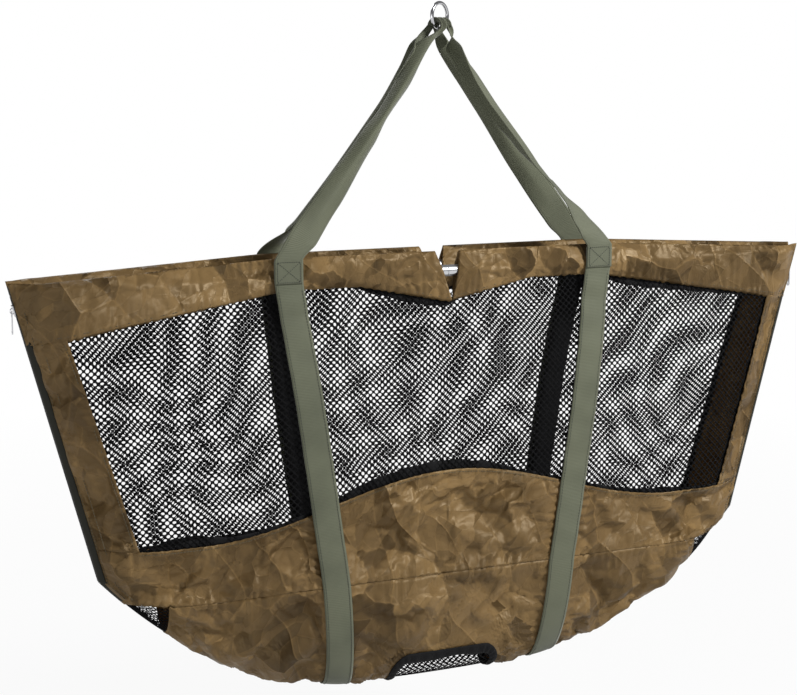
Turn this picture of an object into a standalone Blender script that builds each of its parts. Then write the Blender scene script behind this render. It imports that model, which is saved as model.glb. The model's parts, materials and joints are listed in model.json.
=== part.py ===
"""A weigh sling for big fish, hanging from its steel ring: two net walls, zipped together at both ends,
round a hammock floor, with a two-piece bar in each top sleeve and two webbing bridles to one ring.
Metres, +Z up, X along the sling, -Y the front. The origin is the top of the ring's hole, where a hook carries it."""

import math

import bmesh
import bpy
from mathutils import Matrix, Vector

# Fits
seam_gap = 0.0003
weld_distance = 0.0001

# Ring
ring_hole_radius = 0.015
ring_wire_radius = 0.0025
ring_turn = math.radians(30)

# Mouth and bars
mouth_half_length = 0.596
mouth_drop = 0.368
bar_half_spacing = 0.028
bar_radius = 0.008
bar_wall = 0.0012
bar_end_room = 0.04
ferrule_half_length = 0.05
ferrule_wall = 0.001
cap_plug_length = 0.012
cap_head_length = 0.003

# Outline of the walls, seen from the front
zip_foot_half_length = 0.492
zip_foot_drop = 0.397
floor_drop = 0.595
outline_power_share = 2.75
floor_seam_drop = 0.43

# Depth of the bag, front to back
edge_half_depth = 0.009
belly_half_depth = 0.052
belly_drop = 0.22
mouth_turn_width = 0.05
belly_turn_width = 0.10

# Net window in each wall
border_top_width = 0.064
border_foot_width = 0.045
window_top_corner_drop = 0.062
window_foot_drop = 0.35
window_crest_height = 0.07
window_crest_half_length = 0.36
back_window_foot_drop = 0.376
back_window_crest_height = 0.03
window_dip_depth = 0.027
window_dip_half_length = 0.13

# Sleeves round the bars
sleeve_rise_at_straps = 0.028
sleeve_rise_at_ends = 0.0105
sleeve_drop_at_straps = 0.014
sleeve_edge_radius = 0.0004
notch_half_length = 0.018

# Fabric, net and webbing
fabric_thickness = 0.0012
net_thickness = 0.0014
net_cord_width = 0.005
net_hem_width = 0.011
net_edge_gap = 0.001
net_columns = 11
net_rows = 4
fold_depth = 0.006
fold_pitch = 0.085
fold_lean_share = 0.9
webbing_width = 0.04
webbing_thickness = 0.0018
webbing_width_at_ring = 0.011
patch_height = 0.033

# Straps down the walls and under the floor
strap_half_spacing_at_mouth = 0.235
strap_half_spacing_at_seam = 0.174
strap_half_spacing_at_floor = 0.161
strap_top_gap = 0.003
strap_slack = 0.001

# Net panels in the floor
floor_net_half_length = 0.082
floor_net_half_angle = math.radians(42)
floor_net_columns = 4
floor_net_rows = 3
corner_net_length = 0.049
corner_net_end_gap = 0.0045
corner_net_columns = 2
corner_net_rows = 3

# Zips
coil_gap = 0.0013
coil_width = 0.0024
coil_thickness = 0.002
zip_tape_thickness = 0.001
zip_start_drop = 0.002
zip_end_drop = 0.425
slider_length = 0.0145
slider_width = 0.0115
slider_plate = 0.0012
slider_neck_length = 0.004
slider_lip_width = 0.0012
slider_start_drop = 0.026
bail_radius = 0.0036
bail_wire_radius = 0.0007
stop_length = 0.003
pull_length = 0.03
pull_width = 0.0072
pull_thickness = 0.0012
pull_slot_length = 0.0062
pull_slot_width = 0.0032
pull_eye_radius = 0.0016
pull_pin = 0.0011

# Places worked out from those sizes
mouth_z = -mouth_drop
foot_z = mouth_z - zip_foot_drop
floor_z = mouth_z - floor_drop
seam_z = mouth_z - floor_seam_drop
window_foot_z = mouth_z - window_foot_drop
bar_half_length = mouth_half_length - bar_end_room
window_top_half_length = mouth_half_length - border_top_width
window_foot_half_length = zip_foot_half_length - border_foot_width
strap_outer_x = strap_half_spacing_at_mouth + webbing_width / 2
ring_radius = ring_hole_radius + ring_wire_radius
ring_along = Vector((math.cos(ring_turn), math.sin(ring_turn), 0))
ring_back = Vector((-math.sin(ring_turn), math.cos(ring_turn), 0))

RIGHT, LEFT = 1, -1
BACK, FRONT = 1, -1
ENDS = {"left": LEFT, "right": RIGHT}
WALLS = {"front": FRONT, "back": BACK}
FOOT_DROPS = {FRONT: window_foot_drop, BACK: back_window_foot_drop}
CREST_HEIGHTS = {FRONT: window_crest_height, BACK: back_window_crest_height}

COLOURS = {
    "nylon": ((0.15, 0.095, 0.045, 1), 0.45, 0.0),
    "net": ((0.012, 0.012, 0.011, 1), 0.7, 0.0),
    "webbing": ((0.115, 0.13, 0.09, 1), 0.8, 0.0),
    "steel": ((0.7, 0.7, 0.7, 1), 0.18, 1.0),
    "aluminium": ((0.65, 0.66, 0.67, 1), 0.35, 1.0),
    "zip_nylon": ((0.022, 0.022, 0.016, 1), 0.6, 0.0),
    "plastic": ((0.02, 0.02, 0.02, 1), 0.5, 0.0),
}


def mix(first, second, share):
    return first + (second - first) * share


def clamp(value):
    return max(0.0, min(1.0, value))


def share_of(value, start, end):
    """How far value has come from start to end, from 0 to 1."""
    return clamp((value - start) / (end - start))


def steps_between(share, stops, counts):
    """Lays 0 to 1 over stops, where the stretch to each next stop takes its count of equal steps."""
    steps = share * sum(counts)
    place = stops[0]
    for start, end, count in zip(stops, stops[1:], counts):
        place += (end - start) * clamp(steps / count)
        steps -= count
    return place


def clear_scene():
    for obj in list(bpy.data.objects):
        bpy.data.objects.remove(obj, do_unlink=True)


def make_collection(name, hidden=False):
    collection = bpy.data.collections.new(name)
    bpy.context.scene.collection.children.link(collection)
    collection.hide_render = hidden
    return collection


def make_materials():
    made = {}
    for name, (colour, roughness, metallic) in COLOURS.items():
        material = bpy.data.materials.new(name)
        material.use_nodes = True
        shader = material.node_tree.nodes["Principled BSDF"]
        shader.inputs["Base Color"].default_value = colour
        shader.inputs["Roughness"].default_value = roughness
        shader.inputs["Metallic"].default_value = metallic
        material.diffuse_color = colour
        made[name] = material
    return made


clear_scene()
PARTS = make_collection("weigh_sling")
CUTTERS = make_collection("cutters", hidden=True)
MATERIALS = make_materials()


def place_empty(name, matrix, parent=None):
    empty = bpy.data.objects.new(name, None)
    PARTS.objects.link(empty)
    empty.parent = parent
    empty.matrix_world = matrix
    return empty


def add_part(name, data, material, parent=None, matrix=None):
    """Links a piece whose mesh or curve is drawn about its own origin, and puts that origin at matrix."""
    part = bpy.data.objects.new(name, data)
    PARTS.objects.link(part)
    data.materials.clear()
    data.materials.append(MATERIALS[material])
    part.parent = parent
    if matrix is not None:
        part.matrix_world = matrix
    return part


def mesh_from(bm, name):
    mesh = bpy.data.meshes.new(name)
    bm.to_mesh(mesh)
    bm.free()
    mesh.shade_smooth()
    mesh.set_sharp_from_angle(angle=math.radians(40))
    return mesh


def thicken(part, thickness):
    solid = part.modifiers.new("thickness", "SOLIDIFY")
    solid.thickness = thickness
    solid.offset = 0.0
    return part


# The bag's own shape: every panel, net, strap and zip is laid on these curves


def zip_line_x(z):
    """Half length of the bag along the zips' straight line, carried on below their foot."""
    return mix(mouth_half_length, zip_foot_half_length, (mouth_z - z) / (mouth_z - foot_z))


def outline_x(z):
    """Half length of the bag at height z: straight zips, then the curve of the belly."""
    if z >= foot_z:
        return zip_line_x(z)
    return zip_foot_half_length * ((z - floor_z) / (foot_z - floor_z)) ** (1 / outline_power_share)


def keel_z(x):
    """Height of the bag's lowest line at x."""
    return mix(floor_z, foot_z, (abs(x) / zip_foot_half_length) ** outline_power_share)


def wall_depth(x, z):
    """Distance of a wall from the middle plane: bars at the top, belly below, turned in to the zips."""
    fullness = math.sin(math.pi / 2 * share_of(z, mouth_z, mouth_z - belly_drop))
    middle = mix(bar_half_spacing, belly_half_depth, fullness)
    turn_width = mix(mouth_turn_width, belly_turn_width, fullness)
    side = 1 - (1 - clamp((outline_x(z) - abs(x)) / turn_width)) ** 2
    return mix(edge_half_depth, middle, side)


def strap_x(z):
    if z > seam_z:
        return mix(strap_half_spacing_at_seam, strap_half_spacing_at_mouth, share_of(z, seam_z, mouth_z))
    return mix(strap_half_spacing_at_floor, strap_half_spacing_at_seam, share_of(z, floor_z, seam_z))


def fold(x, z, height_share):
    """How far the loose fabric falls inwards: leaning folds that die out at the seams and under the straps."""
    strap_room = clamp((abs(abs(x) - strap_x(z)) - webbing_width / 2) / webbing_width)
    edge_room = clamp((outline_x(z) - abs(x)) / belly_turn_width)
    lean = fold_lean_share * (z - seam_z)
    wave = 0.5 + 0.5 * math.sin(2 * math.pi * (abs(x) + lean) / fold_pitch)
    return fold_depth * wave * strap_room * edge_room * math.sin(math.pi * clamp(height_share))


def wall_point(x, z, wall, inward=0.0):
    return Vector((x, wall * (wall_depth(x, z) - inward), z))


def floor_section(x, angle):
    """Point and outward direction of the floor at x: half an ellipse from the front seam (-90 degrees)
    under the keel (0) to the back seam (90 degrees)."""
    depth = wall_depth(x, seam_z)
    height = seam_z - keel_z(x)
    point = Vector((x, depth * math.sin(angle), seam_z - height * math.cos(angle)))
    outward = Vector((0, height * math.sin(angle), -depth * math.cos(angle))).normalized()
    return point, outward


def sleeve_top_z(x):
    rise = mix(
        sleeve_rise_at_straps,
        sleeve_rise_at_ends,
        share_of(abs(x), strap_outer_x, bar_half_length),
    )
    return mouth_z + rise


def window_top_z(x):
    """The line between sleeve and window: level between the straps with a dip at the middle, then down."""
    length = abs(x)
    dip = window_dip_depth * clamp(1 - length / window_dip_half_length)
    slope = (window_top_corner_drop - sleeve_drop_at_straps) / (window_top_half_length - strap_half_spacing_at_mouth)
    return mouth_z - sleeve_drop_at_straps - dip - slope * max(0.0, length - strap_half_spacing_at_mouth)


def window_side_x(z):
    corner_z = mouth_z - window_top_corner_drop
    return mix(window_top_half_length, window_foot_half_length, (corner_z - z) / (corner_z - window_foot_z))


UPRIGHT_COUNTS = (2, 3, 3, 3)
UPRIGHTS = sum(UPRIGHT_COUNTS)


def upright_x(across, outer_x):
    """The upright lines that window and band share, so that their edges meet at the same corners."""
    fixed_x = window_top_half_length * sum(UPRIGHT_COUNTS[:-1]) / UPRIGHTS
    stops = (0, window_dip_half_length, strap_half_spacing_at_mouth, fixed_x, outer_x)
    return math.copysign(steps_between(abs(across), stops, UPRIGHT_COUNTS), across)


def window_foot_line_z(x, wall):
    """The line between window and lower band: a low crest over the middle, straight between the uprights."""
    foot = mouth_z - FOOT_DROPS[wall]

    def crest(length):
        return 0.5 + 0.5 * math.cos(math.pi * clamp(length / window_crest_half_length))

    uprights = [upright_x(step / UPRIGHTS, window_foot_half_length) for step in range(UPRIGHTS + 1)]
    for near, far in zip(uprights, uprights[1:]):
        if abs(x) <= far:
            share = share_of(abs(x), near, far)
            return foot + CREST_HEIGHTS[wall] * mix(crest(near), crest(far), share)
    return foot


def settle(x_at, z_at):
    """The point where a line x = x_at(z) crosses a line z = z_at(x)."""
    z = z_at(0.0)
    for _ in range(8):
        x = x_at(z)
        z = z_at(x)
    return x, z


# Makers for the kinds of piece that the bag is sewn from


def sheet(name, place, columns, rows, thickness, material, parent, drop=None):
    """A piece of cloth: a grid whose corners are -1 and 1, laid by place(across, along) and given its thickness.
    drop(across, along) says which cells are cut out."""
    bm = bmesh.new()
    bmesh.ops.create_grid(bm, x_segments=columns, y_segments=rows, size=1.0)
    if drop:
        cut = [face for face in bm.faces if drop(*face.calc_center_median()[:2])]
        bmesh.ops.delete(bm, geom=cut, context="FACES")
    for vertex in bm.verts:
        vertex.co = place(vertex.co.x, vertex.co.y)
    bmesh.ops.remove_doubles(bm, verts=bm.verts, dist=weld_distance)
    return thicken(add_part(name, mesh_from(bm, name), material, parent), thickness)


HEM_STEPS = 2


def net(name, place, width, height, columns, rows, parent):
    """A knotted net with diamond meshes inside a plain hem. It is drawn flat, width by height, and then laid
    by place(across, along), both from -1 to 1."""
    bm = bmesh.new()
    bmesh.ops.create_grid(bm, x_segments=columns, y_segments=rows, size=1.0)
    inner_width = width / 2 - net_hem_width
    inner_height = height / 2 - net_hem_width
    for vertex in bm.verts:
        vertex.co = Vector((vertex.co.x * inner_width, vertex.co.y * inner_height, 0))
    square_edges = [edge for edge in bm.edges if not edge.is_boundary]
    bmesh.ops.poke(bm, faces=bm.faces[:])
    bmesh.ops.dissolve_edges(bm, edges=square_edges, use_verts=False)
    bmesh.ops.bisect_edges(bm, edges=[edge for edge in bm.edges if edge.is_boundary], cuts=HEM_STEPS - 1)
    meshes = bm.faces[:]
    bmesh.ops.inset_individual(bm, faces=meshes, thickness=net_cord_width / 2, use_even_offset=True)
    rim = [edge for edge in bm.edges if edge.is_boundary]
    hem = bmesh.ops.extrude_edge_only(bm, edges=rim)["geom"]
    for vertex in (item for item in hem if isinstance(item, bmesh.types.BMVert)):
        vertex.co.x *= width / 2 / inner_width
        vertex.co.y *= height / 2 / inner_height
    bmesh.ops.delete(bm, geom=meshes, context="FACES")
    for vertex in bm.verts:
        vertex.co = place(vertex.co.x / (width / 2), vertex.co.y / (height / 2))
    bmesh.ops.recalc_face_normals(bm, faces=bm.faces)
    return thicken(add_part(name, mesh_from(bm, name), "net", parent), net_thickness)


def turned(name, profile, material, parent, matrix, steps=20):
    """A turned piece about its own Z axis, from (radius, height) points that run down its outer side."""
    bm = bmesh.new()
    corners = [bm.verts.new((radius, 0, height)) for radius, height in profile]
    for first, second in zip(corners, corners[1:] + corners[:1]):
        bm.edges.new((first, second))
    part = add_part(name, mesh_from(bm, name), material, parent, matrix)
    screw = part.modifiers.new("turn", "SCREW")
    screw.axis = "Z"
    screw.steps = steps
    screw.render_steps = steps
    screw.use_merge_vertices = True
    screw.merge_threshold = weld_distance
    return part


def box_mesh(bm, size, centre):
    made = bmesh.ops.create_cube(bm, size=1.0)
    for vertex in made["verts"]:
        vertex.co = Vector(centre) + Vector(a * b for a, b in zip(vertex.co, size))


def join_solids(part, others):
    """Boolean union of helper meshes onto a part. The helpers are kept as hidden cutters."""
    for other in others:
        join = part.modifiers.new("join", "BOOLEAN")
        join.operation = "UNION"
        join.object = other


def helper(name, mesh, parent, matrix):
    obj = bpy.data.objects.new(name, mesh)
    CUTTERS.objects.link(obj)
    obj.parent = parent
    obj.matrix_world = matrix
    obj.hide_render = True
    obj.display_type = "WIRE"
    return obj


# Ring and bridles

fold_outer_width = seam_gap + webbing_width_at_ring
fold_wire_angle = math.asin(fold_outer_width / ring_radius)
wire_top = ring_radius * (1 - math.cos(fold_wire_angle)) + ring_wire_radius / math.cos(fold_wire_angle)
fold_bore = (wire_top + ring_wire_radius) / 2 + seam_gap
fold_radius = fold_bore + webbing_thickness / 2
hang_z = -ring_hole_radius - ring_radius + (wire_top - ring_wire_radius) / 2
hang_point = Vector((0, 0, hang_z))


def make_ring():
    bpy.ops.mesh.primitive_torus_add(
        major_radius=ring_radius, minor_radius=ring_wire_radius, major_segments=36, minor_segments=10
    )
    made = bpy.context.object
    mesh = made.data
    mesh.name = "hang_ring"
    bpy.data.objects.remove(made)
    mesh.shade_smooth()
    upright = Matrix.Rotation(ring_turn, 4, "Z") @ Matrix.Rotation(math.pi / 2, 4, "X")
    return add_part("hang_ring", mesh, "steel", None, Matrix.Translation((0, 0, -ring_hole_radius)) @ upright)


sleeve_bore = bar_radius + seam_gap
strap_flat_y = bar_half_spacing + sleeve_bore + fabric_thickness + seam_gap + webbing_thickness / 2
bridle_patch_y = strap_flat_y + webbing_thickness + seam_gap
patch_top_z = mouth_z + sleeve_rise_at_straps
sleeve_turn_x = bar_half_length + cap_head_length + fabric_thickness
SLEEVE_CORNERS = 12
SLEEVE_COUNTS = (2, 2, 1, 5, 3)
ARCH_SHARE = 0.16
PATCH_SHARE = 0.86
RING_TWIST_SHARE = 0.25
PATCH_TWIST_SHARE = 0.12


def bridle_point(end, across, along):
    """A bridle runs from its sewn patch on the front sleeve up over the ring's wire and down to the back."""
    wall = FRONT if along < 0 else BACK
    run = abs(along)
    arch_centre = hang_point + ring_along * end * (seam_gap + webbing_width_at_ring / 2)
    if run <= ARCH_SHARE:
        angle = math.pi / 2 * along / ARCH_SHARE
        lift = Vector((0, 0, fold_radius * math.cos(angle)))
        centre = arch_centre + ring_back * fold_radius * math.sin(angle) + lift
        return centre + ring_along * across * webbing_width_at_ring / 2
    start = arch_centre + ring_back * wall * fold_radius
    patch_top = Vector((end * strap_half_spacing_at_mouth, wall * bridle_patch_y, patch_top_z))
    if run >= PATCH_SHARE:
        down = patch_height * share_of(run, PATCH_SHARE, 1.0)
        return patch_top - Vector((0, 0, down)) + Vector((across * webbing_width / 2, 0, 0))
    leg = share_of(run, ARCH_SHARE, PATCH_SHARE)
    direction = (patch_top - start).normalized()
    flat = Vector((1, 0, 0))
    square = (flat - direction * direction.dot(flat)).normalized()
    off_patch = clamp((1 - leg) / PATCH_TWIST_SHARE)
    off_ring = clamp(leg / RING_TWIST_SHARE)
    side = mix(flat, square, off_patch)
    side = mix(ring_along, side, off_ring).normalized()
    width = mix(webbing_width_at_ring, webbing_width, leg)
    return mix(start, patch_top, leg) + side * across * width / 2


def make_bridles(sling):
    for name, end in ENDS.items():
        sheet(
            f"bridle_{name}",
            lambda across, along, end=end: bridle_point(end, across, along),
            1,
            50,
            webbing_thickness,
            "webbing",
            sling,
        )


# Bars, each of two tubes on a ferrule


def lying(x, wall):
    """A place on a bar's axis, with the piece's own Z along +X."""
    return Matrix.Translation((x, wall * bar_half_spacing, mouth_z)) @ Matrix.Rotation(math.pi / 2, 4, "Y")


def tube_profile(outer, inner, low, high):
    return [(outer, high), (outer, low), (inner, low), (inner, high)]


def make_bars(sling):
    bar_bore = bar_radius - bar_wall
    ferrule_radius = bar_bore - seam_gap
    for wall_name, wall in WALLS.items():
        for end_name, end in ENDS.items():
            tube = tube_profile(bar_radius, bar_bore, seam_gap / 2, bar_half_length)
            turned(
                f"{wall_name}_bar_{end_name}",
                tube,
                "aluminium",
                sling,
                lying(0, wall) @ Matrix.Rotation(0 if end == RIGHT else math.pi, 4, "Y"),
            )
            plug_radius = bar_bore - seam_gap
            cap = [
                (0, cap_head_length),
                (bar_radius, cap_head_length),
                (bar_radius, 0),
                (plug_radius, 0),
                (plug_radius, -cap_plug_length),
                (0, -cap_plug_length),
            ]
            turned(
                f"{wall_name}_bar_cap_{end_name}",
                cap,
                "plastic",
                sling,
                lying(end * (bar_half_length + seam_gap), wall)
                @ Matrix.Rotation(0 if end == RIGHT else math.pi, 4, "Y"),
            )
        ferrule = tube_profile(
            ferrule_radius, ferrule_radius - ferrule_wall, -ferrule_half_length, ferrule_half_length
        )
        turned(f"{wall_name}_bar_ferrule", ferrule, "aluminium", sling, lying(0, wall))


# Sleeves: cloth tunnels that hang on the bars, pulled up at the straps


def sleeve_x(z, run):
    """The upright lines of a sleeve: a slanted notch at the middle, fixed lines, and the zip's line at the end."""
    height = share_of(z, window_top_z(0), sleeve_top_z(0))
    notch_x = seam_gap / 2 + notch_half_length * height
    stops = (notch_x, window_dip_half_length, strap_half_spacing_at_mouth, strap_outer_x, sleeve_turn_x, outline_x(z))
    return steps_between(run, stops, SLEEVE_COUNTS)


def make_sleeve(name, wall, end, sling):
    """An eight-sided tunnel round the bar, drawn out to a thin edge above and below it."""
    skin = sleeve_edge_radius + fabric_thickness / 2
    end_depth = edge_half_depth + fabric_thickness
    octagon_share = math.tan(math.pi / 8)

    def place(around, along):
        run = (along + 1) / 2
        past_bar = share_of(sleeve_x(mouth_z, run), sleeve_turn_x, mouth_half_length)
        room = mix(sleeve_bore + fabric_thickness / 2, skin, past_bar)
        bar_y = mix(bar_half_spacing, end_depth, past_bar)
        top_z = settle(lambda z: sleeve_x(z, run), sleeve_top_z)[1] - fabric_thickness / 2
        low_x, low_z = settle(lambda z: sleeve_x(z, run), window_top_z)
        low_y = max(wall_depth(low_x, low_z), end_depth)
        small = room * octagon_share
        corners = [
            (bar_y, skin, top_z),
            (bar_y, small, mouth_z + room),
            (bar_y, room, mouth_z + small),
            (bar_y, room, mouth_z - small),
            (bar_y, small, mouth_z - room),
            (low_y, skin, low_z + (fabric_thickness + seam_gap) / 2),
        ]
        corner = round((around + 1) / 2 * 2 * len(corners)) % (2 * len(corners))
        side = 1 if corner < len(corners) else -1
        y, half_width, z = corners[min(corner, 2 * len(corners) - 1 - corner)]
        return Vector((end * sleeve_x(z, run), wall * (y + side * max(half_width, skin)), z))

    sheet(name, place, SLEEVE_CORNERS, sum(SLEEVE_COUNTS), fabric_thickness, "nylon", sling)


# Walls: side borders, lower band and net window


def wall_patch(x_at, z_low_at, z_high_at, wall, end=1, loose=False):
    """place() for a patch of wall between two upright lines, from 0 to 1 across, and two level lines."""

    def place(across, along):
        height = (along + 1) / 2
        z = mix(z_low_at(0), z_high_at(0), height)
        for _ in range(8):
            x = x_at(across, z)
            z = mix(z_low_at(x), z_high_at(x), height)
        return wall_point(end * x, z, wall, fold(x, z, height) if loose else 0.0)

    return place


def make_walls(sling):
    half_gap = seam_gap / 2
    for wall_name, wall in WALLS.items():
        window = wall_patch(
            lambda across, z: upright_x(across, window_side_x(z) - half_gap),
            lambda x: window_foot_line_z(x, wall) + half_gap,
            lambda x: window_top_z(x) - half_gap,
            wall,
        )
        window_height = FOOT_DROPS[wall] - window_top_corner_drop
        net(
            f"{wall_name}_net_window",
            window,
            window_top_half_length + window_foot_half_length,
            window_height,
            net_columns,
            net_rows,
            sling,
        )
        for end_name, end in ENDS.items():
            border = wall_patch(
                lambda across, z: mix(window_side_x(z) + half_gap, outline_x(z), (across + 1) / 2),
                lambda x: mouth_z - FOOT_DROPS[wall] + half_gap,
                lambda x: window_top_z(x) - half_gap,
                wall,
                end,
            )
            sheet(f"{wall_name}_border_{end_name}", border, 4, 10, fabric_thickness, "nylon", sling)
            make_sleeve(f"{wall_name}_sleeve_{end_name}", wall, end, sling)
        band = wall_patch(
            lambda across, z: upright_x(across, outline_x(z)),
            lambda x: seam_z + half_gap,
            lambda x: window_foot_line_z(x, wall) - half_gap,
            wall,
            loose=True,
        )
        sheet(f"{wall_name}_lower_band", band, 4 * UPRIGHTS, 4, fabric_thickness, "nylon", sling)


# Floor: a nylon hammock with a net panel at the keel and a net corner at each end


FLOOR_COLUMNS = (9, 6, 9)
FLOOR_ROWS = (4, 3, 4)


def make_floor(sling):
    half_gap = seam_gap / 2
    end_x = outline_x(seam_z) - corner_net_end_gap
    corner_x = end_x - corner_net_length
    net_angle = floor_net_half_angle
    angle_gap = half_gap / (belly_half_depth / 2)
    x_stops = [-corner_x, -floor_net_half_length, floor_net_half_length, corner_x]

    def seam_angle(x, gap):
        return math.acos(gap / (seam_z - keel_z(x)))

    def laid_panel(across, along):
        x = steps_between((across + 1) / 2, x_stops, FLOOR_COLUMNS)
        rim = seam_angle(x, seam_gap)
        return laid(x, steps_between((along + 1) / 2, (-rim, -net_angle, net_angle, rim), FLOOR_ROWS), True)

    def in_hole(across, along):
        return abs(across) < FLOOR_COLUMNS[1] / sum(FLOOR_COLUMNS) and abs(along) < FLOOR_ROWS[1] / sum(FLOOR_ROWS)

    def laid_corner(end, across, along):
        x = end * mix(corner_x + net_edge_gap, end_x, (across + 1) / 2)
        return laid(x, along * seam_angle(x, net_edge_gap), False)

    def laid(x, angle, loose):
        point, outward = floor_section(x, angle)
        room = clamp((abs(x) - floor_net_half_length) / webbing_width) * clamp((corner_x - abs(x)) / webbing_width)
        sag = room * fold(x, point.z, abs(angle) / (math.pi / 2)) if loose else 0.0
        return point - outward * sag

    sheet(
        "floor_panel",
        laid_panel,
        sum(FLOOR_COLUMNS),
        sum(FLOOR_ROWS),
        fabric_thickness,
        "nylon",
        sling,
        drop=in_hole,
    )
    net_height = 2 * math.sin(net_angle) * belly_half_depth
    net(
        "floor_net",
        lambda across, along: laid(
            across * (floor_net_half_length - net_edge_gap), along * (net_angle - angle_gap), False
        ),
        2 * floor_net_half_length,
        net_height,
        floor_net_columns,
        floor_net_rows,
        sling,
    )
    for end_name, end in ENDS.items():
        net(
            f"corner_net_{end_name}",
            lambda across, along, end=end: laid_corner(end, across, along),
            corner_net_length,
            math.pi * corner_net_length,
            corner_net_columns,
            corner_net_rows,
            sling,
        )


# Straps: webbing from the front sleeve, down the wall, under the floor and up the back


STRAP_FLOOR_SHARE = 0.3


def make_straps(sling):
    rest = max(fabric_thickness, net_thickness) / 2 + seam_gap + webbing_thickness / 2

    def place(end, across, along):
        half_width = across * webbing_width / 2
        if abs(along) >= STRAP_FLOOR_SHARE:
            wall = FRONT if along < 0 else BACK
            z = mix(seam_z, patch_top_z - strap_top_gap, share_of(abs(along), STRAP_FLOOR_SHARE, 1.0))
            x = strap_x(z) + half_width
            return Vector((end * x, wall * max(strap_flat_y, wall_depth(x, z) + rest), z))
        angle = math.pi / 2 * along / STRAP_FLOOR_SHARE
        x = strap_x(floor_section(strap_half_spacing_at_floor, angle)[0].z) + half_width
        point, outward = floor_section(end * x, angle)
        return point + outward * (rest + strap_slack * math.cos(angle))

    for name, end in ENDS.items():
        sheet(
            f"strap_{name}",
            lambda across, along, end=end: place(end, across, along),
            2,
            60,
            webbing_thickness,
            "webbing",
            sling,
        )


# Zips


def zip_frame(drop):
    """Centre of the zip at a drop below the bars, its direction down, and its outward direction, right end."""
    z = mouth_z - drop
    step = slider_length / 2
    ahead = Vector((outline_x(z - step), 0, z - step))
    behind = Vector((outline_x(z + step), 0, z + step))
    down = (ahead - behind).normalized()
    return Vector((outline_x(z), 0, z)), down, Vector((-down.z, 0, down.x))


def zip_strip(name, end, wall, near, far, thickness, material, sling, start_drop, end_drop, rows):
    """A strip beside the zip's line, from near to far of it."""

    def place(across, along):
        centre, _, _ = zip_frame(mix(start_drop, end_drop, (along + 1) / 2))
        return Vector((end * centre.x, wall * mix(near, far, (across + 1) / 2), centre.z))

    return sheet(name, place, 1, rows, thickness, material, sling)


def make_zip_strips(end_name, end, sling):
    coil_near = coil_gap / 2
    coil_far = coil_near + coil_width
    tape_near = coil_far + seam_gap
    tape_far = edge_half_depth - fabric_thickness / 2 - seam_gap / 2
    for wall_name, wall in WALLS.items():
        zip_strip(
            f"zip_tape_{wall_name}_{end_name}", end, wall, tape_near, tape_far,
            zip_tape_thickness, "zip_nylon", sling, zip_start_drop, zip_end_drop, 24,
        )
        zip_strip(
            f"zip_coil_{wall_name}_{end_name}", end, wall, coil_near, coil_far,
            coil_thickness, "zip_nylon", sling, zip_start_drop + 2 * stop_length, zip_end_drop - 2 * stop_length, 24,
        )
        zip_strip(
            f"zip_top_stop_{wall_name}_{end_name}", end, wall, coil_near, coil_far,
            coil_thickness, "steel", sling, zip_start_drop + stop_length,
            zip_start_drop + 2 * stop_length - seam_gap, 1,
        )
    zip_strip(
        f"zip_bottom_stop_{end_name}", end, RIGHT, -coil_far, coil_far, coil_thickness, "steel", sling,
        zip_end_drop - 2 * stop_length + seam_gap, zip_end_drop - stop_length, 1,
    )


def slider_matrix(end):
    """The slider's own frame: X out of the bag, Y towards the back, Z up along the zip."""
    centre, down, outward = zip_frame(slider_start_drop)
    turn = Matrix((outward, (0, 1, 0), -down)).transposed()
    matrix = Matrix.Translation(centre) @ turn.to_4x4()
    if end == LEFT:
        return Matrix.Rotation(math.pi, 4, "Z") @ matrix
    return matrix


def make_slider(end_name, end, sling):
    """Two plates joined by a neck between the coils, lips over the tapes, and a bail for the pull."""
    frame = slider_matrix(end)
    carrier = place_empty(f"slider_runner_{end_name}", frame, sling)
    plate_near = coil_thickness / 2 + seam_gap
    plate_x = plate_near + slider_plate / 2
    lip_y = coil_gap / 2 + coil_width + seam_gap + slider_lip_width / 2
    lip_low = zip_tape_thickness / 2 + seam_gap
    overlap = slider_plate / 2
    base = bmesh.new()
    box_mesh(base, (slider_plate, slider_width, slider_length), (plate_x, 0, 0))
    body = add_part(f"zip_slider_{end_name}", mesh_from(base, "slider"), "steel", carrier, frame)
    helpers = []

    def add_box(name, size, centre):
        bm = bmesh.new()
        box_mesh(bm, size, centre)
        helpers.append(helper(f"{name}_{end_name}", mesh_from(bm, name), carrier, frame))

    neck_z = slider_length / 2 - slider_neck_length / 2
    neck_width = coil_gap - 2 * seam_gap
    add_box("slider_neck", (2 * plate_x, neck_width, slider_neck_length), (0, 0, neck_z))
    add_box("slider_inner", (slider_plate, slider_width, slider_length), (-plate_x, 0, 0))
    for side in (FRONT, BACK):
        for face in (1, -1):
            lip_height = plate_near - lip_low + overlap
            lip_x = face * (lip_low + lip_height / 2)
            add_box(
                f"slider_lip_{side}_{face}", (lip_height, slider_lip_width, slider_length), (lip_x, side * lip_y, 0)
            )
    helpers.append(make_bail(end_name, carrier, frame, plate_x))
    join_solids(body, helpers)
    return carrier


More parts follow.
